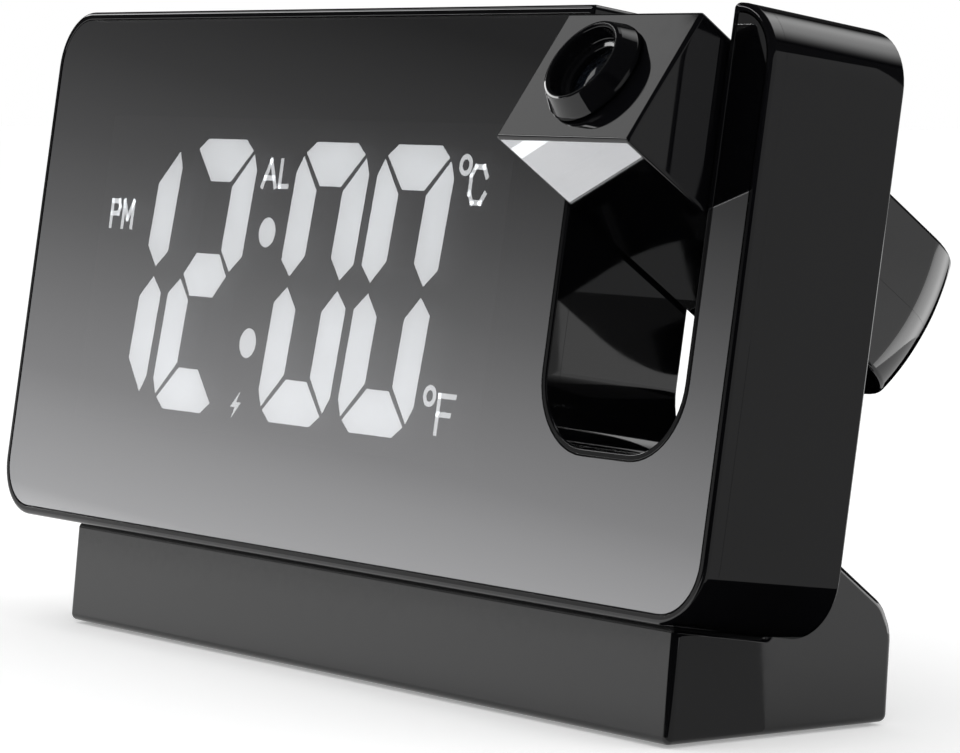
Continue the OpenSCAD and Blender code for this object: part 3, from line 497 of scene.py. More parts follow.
def slot_finishes(colours, stage):
    """The material of every slot in the record, by slot name."""
    return {
        "gloss_black_plastic": polished_black_abs(colours),
        "satin_black_plastic": satin_black_abs(colours),
        "half_mirror": mirror_film(colours),
        "lit_diffuser": lit_diffuser(colours, stage.digit_light),
        # opal diffuser with no light behind it: dull and dark behind the mirror
        "dark_diffuser": finish("unlit_opal_diffuser", colours.diffuser_off, "#34363a",
                                (0.5, 0.6), 0.6, (0.5, 0.006), IOR=1.58),
        # solder mask on woven glass fibre: green gloss with the weave's faint ripple
        "circuit_board": finish("solder_mask_on_glass_fibre", "#17492b", "#1f5a34",
                                (0.25, 0.4), 1.0, (0.6, 0.02), IOR=1.5),
        # epoxy moulding compound: matt black with a fine sandy face
        "component_black": finish("black_epoxy_moulding", "#161719", "#1e1f22", (0.5, 0.7), 0.5,
                                  (0.4, 0.015), IOR=1.55),
        # soft PVC: dull sheen with a slight orange-peel surface
        "cable_sheath": finish("soft_pvc_sheath", "#141415", "#1b1b1d", (0.4, 0.55), 0.8,
                               (0.9, 0.02), IOR=1.53),
        # zinc-plated steel: bright grey with cloudy patches of plating
        "bright_steel": finish("zinc_plated_steel", "#a9adb1", "#c3c6ca", (0.22, 0.38), 0.9,
                               (0.5, 0.006), tone_mm=2.5, Metallic=1.0),
        # sintered bronze: warm metal with open pores
        "bush_brass": finish("sintered_bronze", "#a5823f", "#c9a555", (0.3, 0.5), 0.5,
                             (0.35, 0.03), tone_mm=1.5, Metallic=1.0),
        # vulcanised fibre: dull brown with matted fibres
        "fibre_washer": finish("vulcanised_fibre", "#6d5537", "#957552", (0.6, 0.8), 0.6,
                               (0.5, 0.03), tone_mm=2, IOR=1.5),
        # nitrile rubber: matt, slightly dusty black
        "foot_rubber": finish("nitrile_rubber", "#171717", "#232323", (0.7, 0.88), 0.7,
                              (0.5, 0.03), tone_mm=3, IOR=1.52),
        # liquid-crystal cell: dark glass with a bluish cast
        "lcd_glass": finish("dark_display_glass", "#0a0d13", "#10151e", (0.03, 0.06), 2.0,
                            (5.0, 0.003), IOR=1.52, Alpha=0.92),
        # moulded acrylic lens with a dark blue-grey look, as the tube behind it is black
        "clear_lens": finish("moulded_acrylic_lens", "#0d0f13", "#12161c", (0.02, 0.035), 2.0,
                             (6.0, 0.002), IOR=1.49, Alpha=0.8, Coat_Weight=0.6,
                             Coat_Roughness=0.03, Coat_IOR=1.7),
        # phosphor over a blue diode: pale yellow, dull
        "white_led": finish("diode_phosphor", "#d9c06a", "#efe2a8", (0.4, 0.55), 0.5,
                            (0.4, 0.01), tone_mm=1, IOR=1.5),
    }


SLOT_MATERIALS = {}     # filled by the first operator: slot name to material name
NODE_SLOTS = {p["node"]: p["material_slot"] for p in frame["record"]["subparts"]}


def finished(name):
    """The finished material of a slot."""
    return bpy.data.materials[SLOT_MATERIALS[name]]


class CLOCK_OT_finishes(bpy.types.Operator):
    """Make the materials and give every node of the model the one of its slot"""
    bl_idname = "clock.finishes"
    bl_label = "Finishes"

    def execute(self, context):
        scene = context.scene
        for slot, made in slot_finishes(scene.clock_colours, scene.clock_stage).items():
            SLOT_MATERIALS[slot] = made.name
        SLOT_MATERIALS["acrylic_edge"] = acrylic_edge().name
        SLOT_MATERIALS["plated_face"] = plated_face().name
        for name, obj in frame["nodes"].items():
            obj.data.materials.clear()
            obj.data.materials.append(finished(NODE_SLOTS[name]))
        return {"FINISHED"}


# ---------------------------------------------------------------- body

def body_path(s, inset, slot_inset):
    """Front outline of the body with its slot, drawn in by one distance at the outside and by
    another at the slot."""
    left, right = -s["width"] / 2 + inset, s["width"] / 2 - inset
    foot, top = inset, s["height"] - inset
    slot_r = s["width"] / 2 - s["column"] + slot_inset
    slot_l = s["width"] / 2 - s["column"] - s["slot_width"] - slot_inset
    slot_foot = s["height"] - s["slot_depth"] - slot_inset
    tip = max(MOUTH - slot_inset, LEAST_MOUTH)
    corner, straight = s["corner"] - inset, 0.1
    column_corner = min(corner, right - slot_r - tip - straight)
    return rounded_path(
        [(left, foot), (right, foot), (right, top), (slot_r, top), (slot_r, slot_foot),
         (slot_l, slot_foot), (slot_l, top), (left, top)],
        [corner, corner, column_corner, tip, s["slot_corner"] + slot_inset,
         s["slot_corner"] + slot_inset, tip, corner])


def shift(path, inset):
    """The path drawn in along its normals."""
    return path[0] - inset * path[1], path[1]


def screw_places(s):
    """Front-view places of the six shell screws."""
    side, slot_l = s["width"] / 2, s["width"] / 2 - s["column"] - s["slot_width"]
    into, middle = 6.6, 28
    return [(-side + into, into), (-side + into, s["height"] - into),
            (slot_l - into, s["height"] - into), (side - into, into), (-middle, into),
            (middle, into)]


# Front-view places on the housing's back, and boxes as left, foot, right and top
BUTTON_PLACES = [(-58 + 13 * i, 63.0) for i in range(5)]
SPEAKER_PLACE = (12.0, 44.0)
SPEAKER_RINGS = [(0.0, 1), (3.4, 6), (6.8, 12)]     # radius of each ring and its number of holes
BUTTON_HOLE, SPEAKER_HOLE, SCREW_RECESS = 3.6, 0.9, 2.6     # radii
INLET = (15.2, 24.05, 24.8, 27.95)
WINDOW = (-75.5, 17, 36.5, 66.5)
# Openings in the housing's top and foot, as left, front, right and back
SNOOZE_OPENING, SNOOZE_BAR = (-48.3, 7.2, 8.3, 16.8), (-48, 7.5, 8, 16.5)
SNOOZE_FLANGE = (-49.2, 6.3, 9.2, 17.7)
WIRE_OPENING = (22, 8, 32, 13)
MIDDLE_DEPTH, STAND_SCREWS = 12, (-50, 0, 42)


def speaker_places():
    """Centre hole and two rings of holes: place = centre + ring radius (cos t, sin t)."""
    ring = np.concatenate([
        radius * circle((0, 0), 1, steps=count)[0] if radius else np.zeros((1, 2))
        for radius, count in SPEAKER_RINGS])
    return ring + SPEAKER_PLACE


def bored_hole(skin, path, front, back, edge=0.2):
    """Wall of a hole through the back between two depths, its outer edge rounded over. Returns
    the loops that it leaves in the inner and in the outer face."""
    t = np.linspace(0, math.pi / 2, 4)
    rows = [(0, front, -1, 0)] + np.stack([
        -edge * (1 - np.cos(t)), back - edge + edge * np.sin(t), -np.cos(t), np.sin(t)], 1).tolist()
    surface = carry(path, rows)
    skin.grid(surface)
    return surface[0][0], surface[0][-1]


def wall_patch(skin, outer_corners, inner_corners, outer_normal, holes):
    """A flat stretch of a wall as two faces with the same holes through both.

    holes are pairs of matching loops, outer and inner, with the normals of their walls.
    """
    outer_normal = np.array(outer_normal, float)
    skin.flat([np.array(outer_corners)] + [h[0] for h in holes], outer_normal)
    skin.flat([np.array(inner_corners)] + [h[1] for h in holes], -outer_normal)
    for outer, inner, normals in holes:
        skin.grid((np.stack([outer, inner]), np.stack([normals, normals])))


def long_quads(shape, columns, row):
    """Mask of a grid's quads without those at some columns of one row."""
    keep = np.ones((shape[0] - 1, shape[1]), bool)
    keep[row, columns] = False
    return keep


def build_housing(s):
    """Deep body housing with the slot's walls, open to the front."""
    skin = Skin()
    outline, inner = body_path(s, 0, 0), body_path(s, s["wall"], s["wall"])
    seam, back = 0.02, s["depth"]
    front_d, edge = s["bezel"], s["back_edge"]
    inner_back = back - BACK_WALL
    # columns of the outline's straight stretches: each starts at the last point of a corner
    stretch = {name: (i + 1) * ARC_STEPS - 1 for i, name in enumerate(
        ["foot", "right", "top_right", "slot_right", "slot_foot", "slot_left", "top", "left"])}
    cut = [stretch[n] for n in ("foot", "top", "slot_right", "slot_left")]
    outer = joined(
        carry(outline, [(seam, front_d, 0, -1), (seam, front_d, DIAGONAL, -DIAGONAL),
                        (0, front_d + seam, DIAGONAL, -DIAGONAL), (0, front_d + seam, 1, 0)]),
        eased_edge(outline, edge, back, -1, slot_share(s["slot_edge"] / edge)))
    wall_row = 3
    skin.grid(outer, keep=long_quads(outer[0].shape, cut, wall_row))
    inside = carry(inner, [(0, front_d, -1, 0), (0, inner_back, -1, 0)])
    skin.grid(inside, keep=long_quads(inside[0].shape, cut, 0))
    skin.between(outer[0][0], inside[0][0], (0, -1, 0))
    # walls that have openings through them: the pivots', the snooze bar's, and the stand's
    slot_l = s["width"] / 2 - s["column"] - s["slot_width"]
    slot_r = slot_l + s["slot_width"]
    pivot = (PIVOT_DEPTH, s["height"] - PIVOT_DROP)
    pivot_holes = {
        "slot_left": ((1, 0, 0), 5.5, slot_l, slot_l - s["wall"]),
        "slot_right": ((-1, 0, 0), 4.0, slot_r, slot_r + s["wall"]),
    }
    for name, column in stretch.items():
        if column not in cut:
            continue
        ends = [column, (column + 1) % outline[0].shape[0]]
        strip_outer = outer[0][wall_row:wall_row + 2][:, ends].reshape(4, 3)[[0, 1, 3, 2]]
        strip_inner = inside[0][:, ends].reshape(4, 3)[[0, 1, 3, 2]]
        if name in pivot_holes:
            normal, radius, face, behind = pivot_holes[name]
            ring, out = circle(pivot, radius)
            holes = [(np.insert(ring, 0, face, axis=1), np.insert(ring, 0, behind, axis=1),
                      np.insert(-out, 0, 0, axis=1))]
        elif name == "top":
            normal = (0, 0, 1)
            opening = rounded_box(*SNOOZE_OPENING, 0.5, 5)
            holes = [through(opening, s["height"], s["height"] - s["wall"])]
        else:
            normal = (0, 0, -1)
            screws = [circle((x, MIDDLE_DEPTH), 1.15, steps=20) for x in STAND_SCREWS]
            wires = rounded_box(*WIRE_OPENING, 0.3, 3)
            holes = [through(path, 0, s["wall"]) for path in (*screws, wires)]
        wall_patch(skin, strip_outer, strip_inner, normal, holes)
    # back plate with the holes for buttons, speaker and power inlet, and the screw recesses
    loops = [bored_hole(skin, circle(p, BUTTON_HOLE), inner_back, back) for p in BUTTON_PLACES]
    loops += [bored_hole(skin, circle(p, SPEAKER_HOLE, steps=20), inner_back, back, 0.12)
              for p in speaker_places()]
    loops.append(bored_hole(skin, rounded_box(*INLET, 1.8, 8), inner_back, back))
    inner_loops, outer_loops = [a for a, _ in loops], [b for _, b in loops]
    for place in screw_places(s):
        recess = circle(place, SCREW_RECESS)
        seat, bore, boss = back - 2.6, 1.2, 0.9
        _, outer_loop = bored_hole(skin, recess, seat, back)
        skin.grid(carry(recess, [
            (0, seat, 0, 1), (bore, seat, 0, 1), (bore, seat, -1, 0), (bore, POST_END, -1, 0),
            (bore, POST_END, 0, -1), (-boss, POST_END, 0, -1), (-boss, POST_END, 1, 0),
            (-boss, inner_back, 1, 0)]))
        outer_loops.append(outer_loop)
        inner_loops.append(lift(shift(recess, -boss)[0], inner_back))
    skin.flat([outer[0][-1]] + outer_loops, (0, 1, 0))
    skin.flat([inside[0][-1]] + inner_loops, (0, -1, 0))
    return skin


def through(path, height, behind):
    """Matching loops of a hole through a level wall, and the normals of its walls. The path is
    in width and depth."""
    points, normals = path
    level = np.full(len(points), height, float)
    outer = np.stack([points[:, 0], points[:, 1], level], 1)
    inner = np.stack([points[:, 0], points[:, 1], level * 0 + behind], 1)
    walls = np.stack([-normals[:, 0], -normals[:, 1], level * 0], 1)
    return outer, inner, walls


class CLOCK_OT_housing(bpy.types.Operator):
    """Build the deep body housing with the slot, screw recesses and openings in its back"""
    bl_idname = "clock.housing"
    bl_label = "Body housing"

    def execute(self, context):
        s = in_mm(context.scene.clock_body)
        piece = build_housing(s).piece("body_housing", BODY, [finished("gloss_black_plastic")])
        hand_in(piece, "clock", "rear_shell")
        return {"FINISHED"}


def build_front_frame(s):
    """Front frame: a rounded rim, the recess for the mirror, the display window and six posts."""
    skin = Skin()
    outline = body_path(s, 0, 0)
    seat = body_path(s, s["rim"], s["slot_rim"])
    edge, seam, back, floor = s["front_edge"], 0.02, s["bezel"], s["mirror"]
    lip = 0.12
    outer = joined(
        eased_edge(outline, edge, 0, 1, slot_share(s["slot_edge"] / edge)),
        carry(outline, [(0, back - seam, 1, 0), (0, back - seam, DIAGONAL, DIAGONAL),
                        (seam, back, DIAGONAL, DIAGONAL), (seam, back, 0, 1)]))
    skin.grid(outer)
    recess = carry(seat, [(-lip, 0, 0, -1), (-lip, 0, -0.5, -0.866), (0, lip, -0.966, -0.259),
                          (0, lip, -1, 0), (0, floor, -1, 0)])
    skin.grid(recess)
    skin.between(outer[0][0], recess[0][0], (0, -1, 0))
    window = rounded_box(*WINDOW, 0.4, 4)
    wall = carry(window, [(0, floor, -1, 0), (0, back, -1, 0)])
    skin.grid(wall)
    skin.flat([recess[0][-1], wall[0][0]], (0, -1, 0))
    # lip that centres the frame in the housing, and the posts for the shell screws
    lip_out, lip_in = body_path(s, 2.15, 2.15), body_path(s, 3.15, 3.15)
    lip_end, post_radius, bore_radius = back + 2, 2.8, 1.15
    around = carry(lip_out, [(0, back, 1, 0), (0, lip_end, 1, 0)])
    within = carry(lip_in, [(0, lip_end, -1, 0), (0, back, -1, 0)])
    skin.grid(around)
    skin.grid(within)
    skin.between(around[0][-1], within[0][0], (0, 1, 0))
    skin.between(outer[0][-1], around[0][0], (0, 1, 0))
    loops = [within[0][-1], wall[0][-1]]
    for place in screw_places(s):
        post = carry(circle(place, post_radius), [(0, back, 1, 0), (0, POST_END, 1, 0)])
        bore = carry(circle(place, bore_radius), [(0, POST_END, -1, 0), (0, lip_end, -1, 0)])
        skin.grid(post)
        skin.grid(bore)
        skin.between(post[0][-1], bore[0][0], (0, 1, 0))
        skin.flat([bore[0][-1]], (0, 1, 0))
        loops.append(post[0][0])
    skin.flat(loops, (0, 1, 0))
    return skin


class CLOCK_OT_front_frame(bpy.types.Operator):
    """Build the front frame with its rim, mirror recess and screw posts"""
    bl_idname = "clock.front_frame"
    bl_label = "Front frame"

    def execute(self, context):
        s = in_mm(context.scene.clock_body)
        piece = build_front_frame(s).piece("front_frame", BODY, [finished("gloss_black_plastic")])
        hand_in(piece, "clock", "front_bezel")
        return {"FINISHED"}


class CLOCK_OT_mirror(bpy.types.Operator):
    """Build the half-mirror panel: film in front, smoked acrylic at its edge and back"""
    bl_idname = "clock.mirror"
    bl_label = "Mirror"

    def execute(self, context):
        s = in_mm(context.scene.clock_body)
        skin, front, chamfer, gap = Skin(), 0.04, 0.1, 0.08
        path = body_path(s, s["rim"] + gap, s["slot_rim"] + gap)
        side = carry(path, [(chamfer, front, 0.5, -0.866), (0, front + chamfer, 0.866, -0.5),
                            (0, front + chamfer, 1, 0), (0, s["mirror"], 1, 0)])
        skin.grid(side, slot=1)
        skin.flat([side[0][0]], (0, -1, 0))
        skin.flat([side[0][-1]], (0, 1, 0), slot=1)
        piece = skin.piece("mirror", BODY, [finished("half_mirror"), finished("acrylic_edge")])
        hand_in(piece, "clock", "mirror_panel")
        return {"FINISHED"}


# ---------------------------------------------------------------- stand

def build_stand(s):
    """Stand as its side outline carried across, open below, with a notch in its back wall."""
    skin = Skin()
    half, edge, wall = s["width"] / 2, s["edge"], s["wall"]
    foot_back, notch_top, notch = edge + 0.05, 1.7, s["door"] / 2
    front, back, inner_back = 5.5, 44.8, 42.8
    channel = front + wall
    # side outline in depth and height, anticlockwise: along the foot, up the back, over the top
    corners = [(front, 0), (back, 0), (45.5, 12), (45.1, 13.8), (43.9, 16.6), (25.621, 30.858),
               (22.915, 13.771), (7.124, 16.272)]
    radii = [edge, foot_back, 6, 3, 5, 1.2, 0.3, edge]
    arc = 8
    points, normals = rounded_path(corners, radii, arc)
    # one more point in the back wall, level with the notch's top
    after = 2 * arc - 1
    back_dir = np.array([0.7, 12.0]) / np.hypot(0.7, 12.0)
    extra = np.array([back, 0]) + back_dir * notch_top / back_dir[1]
    points = np.insert(points, after + 1, extra, axis=0)
    normals = np.insert(normals, after + 1, normals[after], axis=0)
    ends = round_over(edge)
    rows = ([(i, d - half, o, b) for i, d, o, b in ends]
            + [(0, -notch, 1, 0), (0, notch, 1, 0)]
            + [(i, half - d, o, -b) for i, d, o, b in ends[::-1]])
    surface = tuple(part[..., [1, 0, 2]] for part in carry((points, normals), rows))
    keep = np.ones((len(rows) - 1, len(points)), bool)
    first, last = len(ends) - 1, len(ends) + 1
    keep[first:last + 1, arc - 1] = False           # the foot, between its two corners
    keep[len(ends), arc:after + 1] = False          # the notch, with the foot's back corner
    skin.grid(surface, keep=keep)
    skin.flat([surface[0][0]], (-1, 0, 0))
    skin.flat([surface[0][-1]], (1, 0, 0))
    # channel inside
    inner = np.array([(channel, 0), (7.124 + wall, 14.2), (24.9, 11.75), (27.6, 27.2),
                      (41.9, 14.0), (43.1, 11.8), (42.9, notch_top), (inner_back, 0)])
    x = np.array([wall - half, -notch, notch, half - wall])
    steps = np.diff(inner, axis=0)
    out = np.stack([-steps[:, 1], steps[:, 0]], 1) / np.linalg.norm(steps, axis=1)[:, None]
    for i, normal in enumerate(out):
        strip = np.zeros((4, 2, 3))
        strip[..., 0] = x[:, None]
        strip[..., 1:] = inner[i:i + 2]
        open_there = np.ones((3, 1), bool)
        open_there[1] = i < len(out) - 1
        skin.grid((strip, np.array([0, -normal[0], -normal[1]])), close=False, keep=open_there)
    for side in (-1, 1):
        skin.flat([np.insert(inner, 0, side * (half - wall), axis=1)], (-side, 0, 0))
    # rim of the foot, open at the notch
    a, b = half - edge, half - wall
    y0, y1 = points[arc - 1, 0], points[arc, 0]
    rim = [(-a, y0), (-notch, y0), (notch, y0), (a, y0), (a, y1), (notch, y1),
           (notch, inner_back), (b, inner_back), (b, channel), (notch, channel),
           (-notch, channel), (-b, channel), (-b, inner_back), (-notch, inner_back),
           (-notch, y1), (-a, y1)]
    skin.flat([np.insert(np.array(rim), 2, 0, axis=1)], (0, 0, -1))
    # the notch's ceiling and sides
    skin.grid((np.array([[(-notch, *extra), (-notch, *inner[-2])],
                         [(notch, *extra), (notch, *inner[-2])]], float),
               np.array([0.0, 0, -1])), close=False)
    cheek = np.concatenate([points[arc:after + 2], inner[[-2, -1]]])
    for side in (-1, 1):
        skin.flat([np.insert(cheek, 0, side * notch, axis=1)], (-side, 0, 0))
    return skin


class CLOCK_OT_stand(bpy.types.Operator):
    """Build the moulded stand with its cradle and raised back"""
    bl_idname = "clock.stand"
    bl_label = "Stand"

    def execute(self, context):
        s = in_mm(context.scene.clock_stand)
        piece = build_stand(s).piece("stand", STAND, [finished("gloss_black_plastic")])
        hand_in(piece, "clock", "stand_shell")
        return {"FINISHED"}


# ---------------------------------------------------------------- projector arm

def arm_outline(s, inset):
    """Shares of the arm's outline that don't change with depth: place across, radius about the
    pivot for the tail, and outward normal.

    Returns (x, rho, nx, nr, head) columns, anticlockwise from the head's right corner. A head
    column has head = 1 and keeps its height; a tail column lies rho from the pivot's axis.
    """
    half, reach, r = s["width"] / 2 - inset, s["tail"] - inset, s["tail_corner"] - inset
    a = np.linspace(0, math.pi / 2, 5)
    f = np.linspace(0, math.pi / 2, 12)
    zero, one = np.zeros_like(a), np.ones_like(a)
    tail = np.stack([half - r + r * np.cos(f), reach - r + r * np.sin(f), np.cos(f), np.sin(f),
                     0 * f], 1)
    mirror = np.array([-1, 1, -1, 1, 1.0])
    right_head = np.stack([half * one, zero, np.cos(a), np.sin(a), one], 1)
    return np.concatenate([right_head, right_head[::-1] * mirror, tail * mirror, tail[::-1]])


def arm_surface(s, inset, depths, edge=0.0, cap=0, back_out=1.0):
    """Outer or inner surface of the arm at some depths.

    A head point keeps its height. A tail point at depth y lies at -sqrt(rho^2 - y^2), so that
    the tail is turned round the pivot. With an edge, every point moves out along its normal by
    it, and cap adds rows that turn the normal to the cap's side in a quarter round.
    """
    x, rho, nx, nr, head = arm_outline(s, inset + edge).T
    y = np.asarray(depths, float)[:, None]
    z = np.where(head > 0, s["head"] - inset - edge, -np.sqrt(np.maximum(rho**2 - y**2, 1e-9)))
    safe = np.where(head > 0, 1, rho)
    ny = np.where(head > 0, 0, nr * y / safe)
    nz = np.where(head > 0, nr, nr * z / safe)
    core = np.stack(np.broadcast_arrays(x, y, z), -1)
    normals = np.stack(np.broadcast_arrays(nx, ny, nz), -1)
    if cap:
        side = np.array([0, cap, 0.0])
        row = 0 if cap < 0 else -1
        start = normals[row]
        t = np.linspace(0, 1, 6)[1:, None]
        angle = np.arccos(np.clip(start @ side, -1, 1))
        share = np.sin((1 - t) * angle)[..., None] * start + np.sin(t * angle)[..., None] * side
        bent = share / np.sin(angle)[..., None]
        more = np.broadcast_to(core[row], bent.shape)
        rows = [(core, normals), (more, bent)]
        if cap < 0:
            rows = [(more[::-1], bent[::-1]), (core, normals)]
        core, normals = joined(*rows)
    return core + edge * normals, normals * back_out


def half_hole(radius, height, cap, gap, steps=25):
    """Half circle of the tube's hole on one side of the parting plane, from +x to -x. Its ends
    lie gap from the plane."""
    start = math.asin(gap / radius)
    t = np.linspace(start, math.pi - start, steps)
    ring = np.stack([radius * np.cos(t), cap * radius * np.sin(t), np.full(steps, height)], 1)
    return ring, np.stack([-np.cos(t), -cap * np.sin(t), 0 * t], 1)


TUBE_HOLE = 6.3                                             # radius of the lens tube's hole
ARM_SCREWS = [(-10.4, 17), (10.4, 17), (-8.5, -24), (8.5, -24)]     # across and from the pivot


def build_arm_half(s, cap):
    """One half of the arm's case: cap -1 is the front half and cap 1 the rear half."""
    skin = Skin()
    half_t, edge, wall = s["thickness"] / 2, s["edge"], s["wall"]
    gap, parting = 0.004, 0.015
    span = np.linspace(parting, half_t - edge, 12)
    depths = span if cap > 0 else -span[::-1]
    points, normals = arm_surface(s, 0, depths, edge, cap)
    if cap < 0:
        points, normals = points[::-1], normals[::-1]      # now from the parting plane outwards
    # the head's flat face lies between these two columns: it is left open here, for the hole
    right, left = 4, 5
    keep = np.ones((len(points) - 1, points.shape[1]), bool)
    keep[:len(span) - 1, right] = False
    skin.grid((points, normals), keep=keep)
    # parting edge: a small step in to the meeting plane, but none on the head's face
    step = np.full((points.shape[1], 1), parting / 2)
    step[[right, left]] = 0
    seam = points[0] - step * normals[0]
    seam[:, 1] = cap * gap
    beside_hole = np.arange(points.shape[1])[None] != right
    skin.grid((np.stack([points[0], seam]), np.stack([normals[0], normals[0]]) * 0.7
               + np.array([0, -0.7 * cap, 0])), keep=beside_hole)
    # inside
    deep = np.linspace(gap, half_t - wall, 10) * cap
    hollow, hollow_normals = arm_surface(s, wall, deep, back_out=-1.0)
    keep = np.ones((len(hollow) - 1, hollow.shape[1]), bool)
    keep[:, right] = False
    skin.grid((hollow, hollow_normals), keep=keep)
    meeting = np.array([0.0, -cap, 0])
    skin.grid((np.stack([seam, hollow[0]]), meeting), keep=beside_hole)
    # head face with half of the tube's hole, outside and inside
    ring, inward = half_hole(TUBE_HOLE, s["head"], cap, gap)
    ring_low = ring - [0, 0, wall]
    skin.grid((np.stack([ring, ring_low]), np.stack([inward, inward])), close=False)
    for corner, end in ((right, 0), (left, -1)):
        skin.grid((np.array([[seam[corner], ring[end]], [hollow[0][corner], ring_low[end]]]),
                   meeting), close=False)
    n = len(span)
    skin.flat([np.concatenate([seam[[right]], points[:n, right], points[:n, left][::-1],
                               seam[[left]], ring[::-1]])], (0, 0, 1))
    skin.flat([np.concatenate([hollow[:, right], hollow[:, left][::-1], ring_low[::-1]])],
              (0, 0, -1))
    # caps, with screw recesses in the rear one; the front one has the mirror finish
    outer_loops = []
    if cap > 0:
        for place in ARM_SCREWS:
            floor_loop, mouth = bored_hole(skin, circle(place, 2.0), half_t - 1.7, half_t, 0.15)
            skin.flat([floor_loop], (0, 1, 0))
            outer_loops.append(mouth)
    else:
        # the mirror-finished part of the front face, a hair inside its edges
        hair = 0.1
        side, top = s["width"] / 2 - edge - hair, s["head"] - edge - hair
        mirror = rounded_box(-side, s["mirror_foot"], side, top, 0.2, 4)
        outer_loops = [lift(mirror[0], -half_t)]
        skin.flat(outer_loops, (0, cap, 0), slot=1)
    skin.flat([points[-1]] + outer_loops, (0, cap, 0))
    skin.flat([hollow[-1]], (0, -cap, 0))
    return skin


class CLOCK_OT_arm_case(bpy.types.Operator):
    """Build the two halves of the projector arm's case"""
    bl_idname = "clock.arm_case"
    bl_label = "Arm case"

    def execute(self, context):
        s = in_mm(context.scene.clock_arm)
        for name, cap, replaced in (("arm_case_front", -1, "arm_front_shell"),
                                    ("arm_case_rear", 1, "arm_rear_shell")):
            faces = [finished("gloss_black_plastic"), finished("plated_face")][:1 + (cap < 0)]
            piece = build_arm_half(s, cap).piece(name, ARM, faces)
            hand_in(piece, "projector_arm", replaced)
        return {"FINISHED"}


def smooth_rows(corners, radii, steps=6):
    """Rows (radius, height, out, up) of an open profile whose inner corners are rounded."""
    points, normals = rounded_path(corners, radii, steps)
    return np.concatenate([points, normals], 1)


class CLOCK_OT_lens_ring(bpy.types.Operator):
    """Build the tapered focus ring with its sleeve, and the front lens in it"""
    bl_idname = "clock.lens_ring"
    bl_label = "Focus ring and lens"

    def execute(self, context):
        s = in_mm(context.scene.clock_arm)
        foot, proud = s["head"] + 0.3, 3.2
        top, lens = foot + proud, s["lens"]
        rim, base = s["ring_rim"], s["ring_foot"]
        sleeve, seat = 5.45, lens - 0.4
        corners = [(lens, foot - 8), (sleeve, foot - 8), (sleeve, foot), (base, foot),
                   (base - 0.15, foot + 0.7), (rim + 0.25, top - 0.5), (rim, top - 0.1),
                   (rim - 0.4, top), (rim - 0.8, top - 0.25), (rim - 1.1, top - 2.4),
                   (seat, top - 2.8), (seat, top - 3.6), (lens, top - 3.6)]
        radii = [0.1, 0.2, 0.1, 0.2, 0.3, 0.3, 0.2, 0.2, 0.15, 0.3, 0.2, 0.05, 0.05]
        skin = Skin()
        skin.grid(closed_rows(turned(smooth_rows(corners, radii))))
        ring = skin.piece("focus_ring_grip", ARM, [finished("gloss_black_plastic")])
        hand_in(ring, "focus_ring", "focus_ring")
        # the lens: a straight edge, and a crown of height crown (1 - (r / edge)^2)
        edge, crown, side, middle = lens - 0.45, 0.9, lens - 0.02, 0.15
        back, shoulder = foot - 3.4, top - 3.62
        r = np.linspace(edge, middle, 16)
        slope = 2 * crown * r / edge**2
        up = 1 / np.hypot(slope, 1)
        rows = [(middle, back, 0, -1), (side, back, 0, -1), (side, back, 1, 0),
                (side, shoulder, 1, 0), (side, shoulder, 0, 1), (edge, shoulder, 0, 1)]
        crown_rows = np.stack([r, shoulder + crown * (1 - (r / edge)**2), slope * up, up], 1)
        surface = turned(rows + crown_rows.tolist(), 96)
        skin = Skin()
        skin.grid(surface)
        skin.flat([surface[0][0]], (0, 0, -1))
        skin.flat([surface[0][-1]], (0, 0, 1))
        glass = skin.piece("front_lens", ARM, [finished("clear_lens")])
        hand_in(glass, "focus_ring", "projection_lens")
        return {"FINISHED"}


def closed_rows(surface):
    """The surface with its first row added again at the end, so that its profile closes."""
    return tuple(np.concatenate([part, part[:1]]) for part in surface)


# ---------------------------------------------------------------- controls

def build_snooze():
    """Snooze bar: a rounded bar through the top, a flange below it and a stem to its switch."""
    skin = Skin()
    top, flange_top, flange_foot, stem_foot = 84.1, 80.9, 79.9, 72.1
    bar = rounded_box(*SNOOZE_BAR, 1.2, 8)
    flange = rounded_box(*SNOOZE_FLANGE, 1.5, 8)
    stem = circle((-20, MIDDLE_DEPTH), 1.6, steps=24)

    def rows(path, profile):
        return tuple(part[..., [0, 2, 1]] for part in carry(path, profile))

    upper = rows(bar, [(i, top - d, o, -b) for i, d, o, b in round_over(0.5)]
                 + [(0, flange_top, 1, 0)])
    plate = rows(flange, [(0, flange_top, 1, 0), (0, flange_foot, 1, 0)])
    post = rows(stem, [(0, flange_foot, 1, 0), (0, stem_foot, 1, 0)])
    for surface in (upper, plate, post):
        skin.grid(surface)
    skin.flat([upper[0][0]], (0, 0, 1))
    skin.flat([plate[0][0], upper[0][-1]], (0, 0, 1))
    skin.flat([plate[0][-1], post[0][0]], (0, 0, -1))
    skin.flat([post[0][-1]], (0, 0, -1))
    return skin


def button_rows():
    """Profile of a rear button: a flange behind the wall, and a round key whose face has a
    shallow dish, deep (1 - (r / dish)^2)."""
    face, radius, flange, flange_back = 24.2, 3.3, 4.5, 20.7
    flange_front, dish, deep, middle = flange_back - 1, radius - 0.6, 0.12, 0.15
    r = np.linspace(middle, dish, 8)
    rows = [(middle, flange_front, 0, -1), (flange, flange_front, 0, -1),
            (flange, flange_front, 1, 0), (flange, flange_back, 1, 0),
            (flange, flange_back, 0, 1), (radius, flange_back, 0, 1), (radius, flange_back, 1, 0)]
    rows += [(radius - i, face - d, o, -b) for i, d, o, b in round_over(0.35)[::-1]]
    rows += np.stack([r, face - deep * (1 - (r / dish)**2), -2 * deep * r / dish**2, 1 + 0 * r],
                     1)[::-1].tolist()
    return rows


